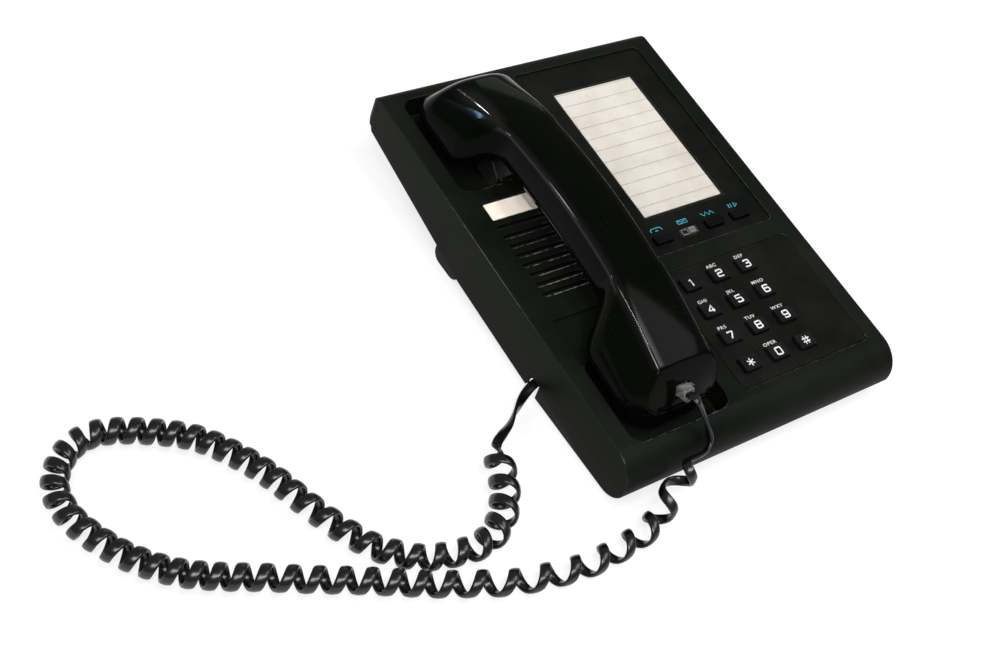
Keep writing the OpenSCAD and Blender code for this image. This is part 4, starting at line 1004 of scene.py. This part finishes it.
# A dished cap with a flange below the panel and a stem under that
def makeCap(name, wide, long, top, under, dish):
    cap = addBlock(name, (-wide / 2, -long / 2, under - capForm["gap"]), (wide / 2, long / 2, top))
    openMesh(cap)
    choose(cap, "EDGE", lambda e: abs(e.verts[0].co.z - e.verts[1].co.z) > capForm["upright"] * mm)
    bpy.ops.mesh.bevel(offset=capForm["corner"] * mm, segments=4, affect="EDGES")
    choose(cap, "FACE", lambda f: f.normal.z < -faceAim)
    dropFaces(0)
    flangeWide, flangeLong = wide + 2 * capForm["flange"], long + 2 * capForm["flange"]
    bpy.ops.transform.resize(value=(flangeWide / wide, flangeLong / long, 1))
    dropFaces(capForm["flangeDeep"])
    dropFaces(0)
    bpy.ops.transform.resize(value=(wide / 2 / flangeWide, long / 2 / flangeLong, 1))
    dropFaces(capForm["stemDeep"])
    topLow = (top - capForm["topSkin"]) * mm
    choose(cap, "FACE", lambda f: f.normal.z > faceAim and f.calc_center_median().z > topLow)
    bpy.ops.transform.resize(value=(capForm["taper"], capForm["taper"], 1))
    bpy.ops.mesh.inset(thickness=capForm["rim"] * mm)
    bpy.ops.transform.translate(value=(0, 0, -dish * mm))
    closeMesh()
    softEdges(cap, capForm["soft"], capForm["softAngle"])
    markPolishAndGlint(cap, capForm["narrow"])
    return cap


# Squarish digits as strokes in a box 4 wide and 5 high
digitStrokes = {
    "1": [[(1, 4.2), (2.1, 5), (2.1, 0)]],
    "2": [[(0, 4.1), (0, 4.5), (0.5, 5), (3.5, 5), (4, 4.5), (4, 3.1), (3.5, 2.6), (0.5, 2.6), (0, 2.1),
           (0, 0), (4, 0)]],
    "3": [[(0, 4.3), (0.5, 5), (3.5, 5), (4, 4.5), (4, 3.1), (3.5, 2.6), (1.2, 2.6)],
          [(3.5, 2.6), (4, 2.1), (4, 0.5), (3.5, 0), (0.5, 0), (0, 0.7)]],
    "4": [[(3, 0), (3, 5), (0, 1.7), (0, 1.3), (4, 1.3)]],
    "5": [[(4, 5), (0, 5), (0, 2.9), (3.5, 2.9), (4, 2.4), (4, 0.5), (3.5, 0), (0.5, 0), (0, 0.7)]],
    "6": [[(4, 4.3), (3.5, 5), (0.5, 5), (0, 4.5), (0, 0.5), (0.5, 0), (3.5, 0), (4, 0.5), (4, 2.3),
           (3.5, 2.8), (0, 2.8)]],
    "7": [[(0, 5), (4, 5), (4, 4.3), (1.5, 0)]],
    "8": [[(0.5, 2.6), (0, 3.1), (0, 4.5), (0.5, 5), (3.5, 5), (4, 4.5), (4, 3.1), (3.5, 2.6), (0.5, 2.6)],
          [(0.5, 2.6), (0, 2.1), (0, 0.5), (0.5, 0), (3.5, 0), (4, 0.5), (4, 2.1), (3.5, 2.6)]],
    "9": [[(0, 0.7), (0.5, 0), (3.5, 0), (4, 0.5), (4, 4.5), (3.5, 5), (0.5, 5), (0, 4.5), (0, 2.7),
           (0.5, 2.2), (4, 2.2)]],
    "0": [[(0.5, 0), (3.5, 0), (4, 0.5), (4, 4.5), (3.5, 5), (0.5, 5), (0, 4.5), (0, 0.5), (0.5, 0)]],
    "star": [[(2, 4.6), (2, 0.6)], [(0.3, 3.6), (3.7, 1.6)], [(0.3, 1.6), (3.7, 3.6)]],
    "hash": [[(1.3, 0.4), (1.3, 4.6)], [(2.9, 0.4), (2.9, 4.6)],
             [(0.1, 1.7), (4.1, 1.7)], [(0.1, 3.3), (4.1, 3.3)]],
}
digitForm = {
    "box": (4, 5), "high": 4.0, "wide": 3.4, "stroke": 0.44, "thick": 0.05, "shift": (0.1, 0.0),
    "signs": ("star", "hash"), "signStroke": 0.3, "signGrow": 1.4,
}


def flatMark(name, strokes, stroke, thick):
    curve = bpy.data.curves.new(name, "CURVE")
    curve.dimensions = "3D"
    curve.bevel_depth = stroke * mm
    curve.bevel_resolution = 2
    curve.use_fill_caps = True
    for points in strokes:
        spline = curve.splines.new("POLY")
        spline.points.add(len(points) - 1)
        for point, (x, y) in zip(spline.points, points):
            point.co = (x * mm, y * mm, 0, 1)
    mark = bpy.data.objects.new(name, curve)
    bpy.context.scene.collection.objects.link(mark)
    pickOnly(mark)
    bpy.ops.object.convert(target="MESH")
    mark = bpy.context.active_object
    mark.scale = (1, 1, thick / stroke)
    settle(mark)
    return mark


dial = {
    "x": (4.7, 23.85, 43.0), "y": (-42.6, -59.85, -77.1, -94.35),
    "cap": {"wide": 11.4, "long": 8.2, "top": 2.0, "under": -2.5, "dish": 0.22},
    "names": ("1", "2", "3", "4", "5", "6", "7", "8", "9", "star", "0", "hash"),
}
keySpots = {label: (dial["x"][k % 3], dial["y"][k // 3]) for k, label in enumerate(dial["names"])}
firstKey = makeCap("dialKey", **dial["cap"])
firstKey.data.materials.append(keyBlack)
boxWide, boxHigh = digitForm["box"]
shiftX, shiftY = digitForm["shift"]
for label, (x, y) in keySpots.items():
    node = "key_" + label
    key = copyPiece(firstKey, node + "_cap")
    sign = label in digitForm["signs"]
    grow = digitForm["signGrow"] if sign else 1.0
    sx, sy = grow * digitForm["wide"] / boxWide, grow * digitForm["high"] / boxHigh
    strokes = [[((u - boxWide / 2) * sx + shiftX, (v - boxHigh / 2) * sy + shiftY) for u, v in row]
               for row in digitStrokes[label]]
    digit = flatMark("digit", strokes, digitForm["signStroke" if sign else "stroke"], digitForm["thick"])
    digit.location.z = (dial["cap"]["top"] - dial["cap"]["dish"]) * mm
    settle(digit)
    digit.data.materials.append(printWhite)
    key = joinPieces([key, digit], node + "_cap")
    settle(key, onDeck(x, y))
    smoothEven(key)
    finishPiece(key, node, "key_black", (node,))
bpy.data.objects.remove(firstKey)

functionRow = {
    "y": -12.3, "buttons": {"left": 9.15, "middle": 44.95, "right": 62.85}, "lensX": 27.05,
    "cap": {"wide": 12.0, "long": 5.2, "top": 0.6, "under": -3.5, "dish": 0.15},
    "lens": {"wide": 12.0, "long": 5.2, "top": -0.6, "under": -3.5, "dish": 0.1},
}
firstButton = makeCap("functionButton", **functionRow["cap"])
firstButton.data.materials.append(buttonBlack)
for label, x in functionRow["buttons"].items():
    node = "button_" + label
    button = copyPiece(firstButton, node + "_cap")
    settle(button, onDeck(x, functionRow["y"]))
    smoothEven(button)
    finishPiece(button, node, "key_black", (node,))
bpy.data.objects.remove(firstButton)
lens = makeCap("lampLens", **functionRow["lens"])
settle(lens, onDeck(functionRow["lensX"], functionRow["y"]))
smooth(lens, 40)
give(lens, lensGrey, "base", "lens_clear", ("message_lens",))
print("keys, buttons and lens made")

dialLetters = {
    "size": 2.7, "widen": 1.2, "apart": 1.16, "shift": (-0.4, 5.3), "lift": 0.01, "thick": 0.02,
    "bold": 0.012,
    "words": {
        "2": "ABC", "3": "DEF", "4": "GHI", "5": "JKL", "6": "MNO", "7": "PRS", "8": "TUV", "9": "WXY",
        "0": "OPER"},
}


def flatWord(word, form):
    text = addPiece("word", bpy.ops.object.text_add)
    text.data.body = word
    text.data.size = form["size"] * mm
    text.data.align_x = "CENTER"
    text.data.extrude = form["thick"] * mm
    text.data.offset = form["bold"] * mm
    text.data.space_character = form["apart"]
    bpy.ops.object.convert(target="MESH")
    return bpy.context.active_object


words = []
for label, letterGroup in dialLetters["words"].items():
    x, y = [spot + shift for spot, shift in zip(keySpots[label], dialLetters["shift"])]
    word = flatWord(letterGroup, dialLetters)
    settle(word, onDeck(x, y, dialLetters["lift"]) @ Matrix.Scale(dialLetters["widen"], 4, (1, 0, 0)))
    words.append(word)
letters = joinPieces(words, "dialLetters")
openMesh(letters)
mergeClose()
closeMesh()
give(letters, printWhite, "base")

# Plain pictograms stand where the words above the buttons are
functionMarks = {
    "y": -5.6, "high": -1.0, "stroke": 0.34, "thick": 0.03, "grow": 1.4,
    "marks": {
        9.15: [[(-2.6, -0.7), (-2.6, 0.2), (-1.8, 0.8), (1.8, 0.8), (2.6, 0.2), (2.6, -0.7)],
               [(-0.7, -0.5), (0.7, -0.5)]],
        27.05: [[(-2.2, -0.8), (-2.2, 0.8), (2.2, 0.8), (2.2, -0.8), (-2.2, -0.8)],
                [(-2.2, 0.8), (0, -0.2), (2.2, 0.8)]],
        44.95: [[(-3, 0.8), (-1.8, -0.8), (-0.6, 0.8), (0.6, -0.8), (1.8, 0.8), (3, -0.8)]],
        62.85: [[(-1.6, -0.9), (-1.6, 0.9)], [(-0.5, -0.9), (-0.5, 0.9)],
                [(1, -0.9), (1, 0.9), (2.6, 0), (1, -0.9)]],
    },
}
marks = []
for x, strokes in functionMarks["marks"].items():
    grown = [[(u * functionMarks["grow"], v * functionMarks["grow"]) for u, v in row] for row in strokes]
    mark = flatMark("mark", grown, functionMarks["stroke"], functionMarks["thick"])
    settle(mark, onDeck(x, functionMarks["y"], functionMarks["high"]))
    marks.append(mark)
give(joinPieces(marks, "functionMarks"), printCyan, "base")
print("print laid on the panels")

handset = {
    "half": 106.0, "grip": 16.0, "cap": 29.0, "flare": (44.0, 66.0), "endRound": 17.0,
    "back": 41.2, "backBow": 620.0, "edge": 25.7, "edgeBow": 860.0, "rim": 6.0,
    "capStart": 60.0, "capBlend": (-7.0, 3.0), "capLip": 1.5, "capTilt": radians(14), "under": 4.5,
    "inset": 3.0, "soleIn": 3.0, "bulge": 0.6, "bend": 0.35, "faceEnd": 105.5, "faceRound": 0.9,
    "ridge": 15.4, "ridgeIn": 1.5, "sideCurve": 1.6, "crown": 0.8, "ridgeRound": 1.1, "mouthRound": 1.2,
    "earFrom": 40.0, "earRange": (56.0, 92.0), "earRound": 9.0, "earBlend": 7.0, "crestLip": 0.3,
    "stations": 110, "seam": 0.35, "seamShare": 0.3, "ridgeShare": 0.6, "sideShare": 0.55,
    "sideStep": 0.01, "sideLeast": 0.05, "sidePoints": 11, "roundPoints": 9, "crownPoints": 5,
    "lidPoints": 6, "footPoints": 8, "solePoints": 9, "shade": 38,
}


def flareAt(t):
    return easeStep(*handset["flare"], abs(t))


def edgeHalf(t):
    r = handset["endRound"]
    over = max(0.0, abs(t) - handset["half"] + r)
    pulled = r - sqrt(max(0.0, r * r - over * over))
    return handset["grip"] + (handset["cap"] - handset["grip"]) * flareAt(t) - pulled


def edgeHigh(t):
    f = flareAt(t)
    return (handset["edge"] - t * t / handset["edgeBow"]) * (1 - f) + handset["rim"] * f


def faceHigh(t):
    slope = tan(handset["capTilt"]) * (abs(t) - handset["capStart"])
    cap = handset["rim"] - handset["capLip"] - slope
    blend = easeStep(*[handset["capStart"] + step for step in handset["capBlend"]], abs(t))
    return (edgeHigh(t) - handset["under"]) * (1 - blend) + cap * blend


# The back's crest; at the ear end it rolls over into the end face
def crestHigh(t):
    crest = handset["back"] - t * t / handset["backBow"]
    if t < handset["earFrom"]:
        return crest
    end = mouthEnd["h"] + (mouthEnd["t"] - t) / tan(mouthEnd["lean"])
    k = handset["earBlend"]
    near = max(0.0, k - abs(crest - end)) / k
    return max(edgeHigh(t) + handset["crestLip"], min(crest, end) - near * near * k / 4)


# Half the width between the back's two ridges
def ridgeHalf(t):
    return min(handset["ridge"], edgeHalf(t) - handset["ridgeIn"])


def bezier(a, b, c, count):
    points = []
    for k in range(count):
        u = k / (count - 1)
        points.append(tuple((1 - u) ** 2 * p + 2 * u * (1 - u) * q + u * u * r for p, q, r in zip(a, b, c)))
    return points


# Even shares of a span, without its two ends
def inner(count):
    return [k / handset[count] for k in range(1, handset[count])]


def backSection(t):
    edge, low, top, ridge = edgeHalf(t), edgeHigh(t), crestHigh(t), ridgeHalf(t)
    seam = min(handset["seam"], (top - low) * handset["seamShare"])

    def side(s):
        return ridge + (edge - ridge) * (1 - s ** handset["sideCurve"]), low + (top - low) * s

    def crown(x):
        return x, top + handset["crown"] * (1 - (x / ridge) ** 2)

    rolled = easeStep(*handset["earRange"], t)
    soft = handset["ridgeRound"] + (handset["earRound"] - handset["ridgeRound"]) * rolled
    slant = sqrt((edge - ridge) ** 2 + (top - low) ** 2)
    soft = min(soft, handset["ridgeShare"] * ridge, handset["sideShare"] * slant)
    s = 1.0
    while s > handset["sideLeast"] and sqrt((side(s)[0] - ridge) ** 2 + (side(s)[1] - top) ** 2) < soft:
        s -= handset["sideStep"]
    right = [(edge - seam, low), (edge, low + seam)]
    first = seam / (top - low)
    right += [side(first + (s - first) * k) for k in inner("sidePoints")]
    right += bezier(side(s), (ridge, top), crown(ridge - soft), handset["roundPoints"])
    right += [crown((ridge - soft) * (1 - k)) for k in inner("crownPoints")]
    left = [(-x, h) for x, h in reversed(right)]
    sole = [((edge - seam) * (2 * k - 1), low) for k in inner("lidPoints")]
    return right + [crown(0.0)] + left + sole


def faceSection(t):
    edge, top, low = edgeHalf(t), edgeHigh(t), faceHigh(t)
    inset, seam, bulge, bend = [handset[size] for size in ("inset", "seam", "bulge", "bend")]
    foot = edge - inset
    flat = foot - handset["soleIn"]
    mid = (edge - bulge, (low + top) / 2)
    start = (mid[0] + (foot - mid[0]) * bend, mid[1] + (low - mid[1]) * bend)
    right = [(edge - seam, top), (edge, top - seam), mid]
    right += bezier(start, (foot + bulge, low), (flat, low), handset["footPoints"])
    left = [(-x, h) for x, h in reversed(right)]
    sole = [(flat * (1 - 2 * k), low) for k in inner("solePoints")]
    lid = [((edge - seam) * (2 * k - 1), top) for k in inner("lidPoints")]
    return right + sole + left + lid


def stationAt(k):
    return handset["half"] * sin(pi * k / (handset["stations"] - 1) - pi / 2)


def loftHandset(name, sectionAt):
    rows = [sectionAt(stationAt(k)) for k in range(handset["stations"])]

    def spread(row, column):
        x, h = rows[row][column]
        return x, stationAt(row), h

    return rollGrid(name, len(rows), len(rows[0]), spread)


handsetBack = loftHandset("handsetBack", backSection)
openMesh(handsetBack)
bpy.ops.mesh.select_all(action="SELECT")
bpy.ops.mesh.bisect(
    plane_co=(0, -mouthEnd["t"] * mm, mouthEnd["h"] * mm), plane_no=mouthOut, use_fill=True, clear_outer=True)
choose(handsetBack, "FACE", lambda f: f.normal.dot(mouthOut) > 0.999 and len(f.verts) > 8)
bpy.ops.mesh.region_to_loop()
bpy.ops.mesh.bevel(offset=handset["mouthRound"] * mm, segments=4, affect="EDGES")
closeMesh()
plugRecess = {"gap": 0.6, "deep": 2.4, "proud": 2.0}
recessWide, recessHigh = [plugForm[side] / 2 + plugRecess["gap"] for side in ("wide", "thick")]
recessLow = (-recessWide, -plugRecess["deep"], -recessHigh)
recess = addBlock("plugRecess", recessLow, (recessWide, plugRecess["proud"], recessHigh))
settle(recess, handsetMatrix.inverted() @ mouthMatrix)
cutAway(handsetBack, recess)
ridgePolish = {
    "reach": 2.2, "earReach": 5.0, "earStart": (48.0, 62.0), "fade": (76.0, 92.0), "earFade": 0.9,
    "rightShare": 0.5, "mouthGap": 1.4,
}
polish = []
for vertex in handsetBack.data.vertices:
    x, t, h = vertex.co / mm
    reach, share = ridgePolish["reach"], ridgePolish["rightShare"]
    if x < 0:
        reach, share = reach + ridgePolish["earReach"] * easeStep(*ridgePolish["earStart"], t), 1.0
    share *= 1.0 - ridgePolish["earFade"] * easeStep(*ridgePolish["fade"], t)
    inside = (vertex.co / mm - mouthSpot).dot(mouthOut) < -ridgePolish["mouthGap"]
    near = 1.0 - sqrt((abs(x) - ridgeHalf(t)) ** 2 + (h - crestHigh(t)) ** 2) / reach
    polish.append(max(0.0, near) * share if inside else 0.0)
setValues(handsetBack, "edgePolish", polish)
settle(handsetBack, handsetMatrix)
smooth(handsetBack, handset["shade"])
give(handsetBack, handsetGloss, "handset", "handset_black", ("handset_back",))

soundHoles = {
    "in": 24.0, "pitch": 8.0, "radius": 1.2, "deep": 3.0, "proud": 2.0, "sides": 16,
    "screwAt": 30.0, "screwRadius": 2.7, "screwSkin": 2.6,
}
handsetFace = loftHandset("handsetFace", faceSection)
faceEnd = handset["faceEnd"] * mm
openMesh(handsetFace)
choose(handsetFace, "FACE", lambda f: abs(f.normal.y) > 0.95 and abs(f.calc_center_median().y) > faceEnd)
bpy.ops.mesh.region_to_loop()
bpy.ops.mesh.bevel(offset=handset["faceRound"] * mm, segments=3, affect="EDGES")
closeMesh()
holes = []
t = handset["capStart"] + soundHoles["in"]
pitch, proud, deep, sides = [soundHoles[size] for size in ("pitch", "proud", "deep", "sides")]
for end in (-1, 1):
    lean = Matrix.Rotation(-end * handset["capTilt"], 4, "X")
    for x in (-1, 0, 1):
        for y in (-1, 0, 1):
            hole = addPost("hole", soundHoles["radius"], -proud, deep, (0, 0), sides)
            spot = Matrix.Translation(Vector((x * pitch, end * t + y * pitch, faceHigh(t))) * mm)
            slide = Matrix.Translation((0, 0, -end * y * pitch * tan(handset["capTilt"]) * mm))
            settle(hole, slide @ spot @ lean)
            holes.append(hole)
    screwSpot = end * soundHoles["screwAt"]
    low, high = faceHigh(screwSpot) - proud, edgeHigh(screwSpot) - soundHoles["screwSkin"]
    holes.append(addPost("hole", soundHoles["screwRadius"], low, high, (0, screwSpot)))
cutAway(handsetFace, joinPieces(holes, "soundCutter"))
settle(handsetFace, handsetMatrix)
smooth(handsetFace, handset["shade"])
give(handsetFace, handsetGloss, "handset", "handset_black", ("handset_face",))
print("handset lofted")

keptNodes = {
    "directory_card": cardPaper, "number_card": numberPaper, "directory_window": windowClear,
    "number_window": windowClear, "message_led": ledRed, "keypad_mat": matRubber, "main_board": boardGreen,
    "board_screws": steelBright, "hook_spring": steelBright, "handset_screws": steelBright,
    "case_screws": steelBright, "hook_switch": switchDark, "speaker_cloth": clothBlack,
    "ringer_speaker": speakerGrey, "receiver_capsule": capsuleMetal, "microphone_capsule": capsuleMetal,
    "handset_weight": weightIron, "handset_jack": jackBlack, "base_jack": jackBlack, "line_jack": jackBlack,
}
for node, material in keptNodes.items():
    for place in frame["nodes"][node].material_slots:
        place.material = material
print("kept nodes finished")

studio = {
    "floorSize": 60.0, "floorColour": (0.3, 0.3, 0.3), "floorLift": 0.74, "worldColour": (0.28, 0.28, 0.28),
    "lamps": {
        "keyLamp": {"at": (-0.8, -0.72, 1.55), "size": (0.7, 0.7), "power": 15.5, "colour": (1, 0.99, 0.97)},
        "rightPanel": {"at": (0.55, -0.42, 1.13), "size": (0.7, 0.5), "power": 4.6},
        "skyWindow": {
            "at": (-0.928, 0.9, 0.448), "size": (0.2, 0.02), "power": 0.26, "colour": (0.4, 0.66, 1),
            "roll": radians(-32), "glossOnly": True, "lights": "allButCord"},
        "skyStreak": {
            "at": (-0.235, 1.02, 0.785), "size": (0.05, 0.14), "power": 1.45, "lights": "allButCord"},
        "cordPanel": {"at": (-0.12, -0.97, 1.36), "size": (0.8, 0.35), "power": 10.5, "glossOnly": True},
        "leftStrip": {"at": (-0.94, 0.45, 0.68), "size": (0.12, 0.4), "power": 2.6, "lights": "allButCord"},
        "ridgeStrip": {"at": (-0.08, -0.2, 1.28), "size": (0.05, 0.3), "power": 3.0, "lights": "allButCord"},
        "cardLamp": {"at": (-0.8, 0.1, 1.2), "size": (0.05, 0.05), "power": 6.4, "lights": "numberCard"},
        "rearPanel": {
            "at": (0.76, 1.06, 0.52), "size": (0.36, 0.24), "power": 0.35, "colour": (0.85, 1, 0.8)},
    },
}
ground = addPiece("paleFloor", bpy.ops.mesh.primitive_plane_add, size=studio["floorSize"])
floorWhite, tree = startMaterial("floorWhite", {})[:2]
tree.nodes.remove(tree.nodes["Principled BSDF"])
matte = addNode(tree, "ShaderNodeBsdfDiffuse", {"Color": (*studio["floorColour"], 1)})
ray = addNode(tree, "ShaderNodeLightPath").outputs
mirrored = mathNode(tree, "MAXIMUM", ray["Is Glossy Ray"], ray["Is Transmission Ray"])
seenRay = mathNode(tree, "MAXIMUM", ray["Is Camera Ray"], mirrored)
lift = times(tree, seenRay, studio["floorLift"])
glow = addNode(tree, "ShaderNodeEmission", {"Color": (1, 1, 1, 1), "Strength": lift})
both = addNode(tree, "ShaderNodeAddShader", {0: matte.outputs[0], 1: glow.outputs[0]})
tree.links.new(both.outputs[0], tree.nodes["Material Output"].inputs["Surface"])
ground.data.materials.append(floorWhite)
# The strips leave no glints on the curls, and one lamp lifts the number card beside the handset
litSets = {"allButCord": (cord, "EXCLUDE"), "numberCard": (frame["nodes"]["number_card"], "INCLUDE")}
for name, (piece, state) in litSets.items():
    litSet = bpy.data.collections.new(name)
    litSet.objects.link(piece)
    litSet.collection_objects[0].light_linking.link_state = state
for name, lamp in studio["lamps"].items():
    light = addPiece(name, bpy.ops.object.light_add, type="AREA")
    light.visible_camera = False
    light.data.shape = "RECTANGLE"
    light.data.size, light.data.size_y = lamp["size"]
    light.data.energy = lamp["power"]
    light.data.color = lamp.get("colour", (1, 1, 1))
    light.location = lamp["at"]
    light.rotation_mode = "QUATERNION"
    roll = Quaternion((0, 0, 1), lamp.get("roll", 0.0))
    light.rotation_quaternion = (-Vector(lamp["at"])).to_track_quat("-Z", "Y") @ roll
    light.visible_diffuse = not lamp.get("glossOnly", False)
    if "lights" in lamp:
        light.light_linking.receiver_collection = bpy.data.collections[lamp["lights"]]
world = bpy.data.worlds.new("paleRoom")
world.use_nodes = True
world.node_tree.nodes["Background"].inputs["Color"].default_value = (*studio["worldColour"], 1)
bpy.context.scene.world = world
bpy.context.scene.view_settings.view_transform = "Standard"
print("studio lit")
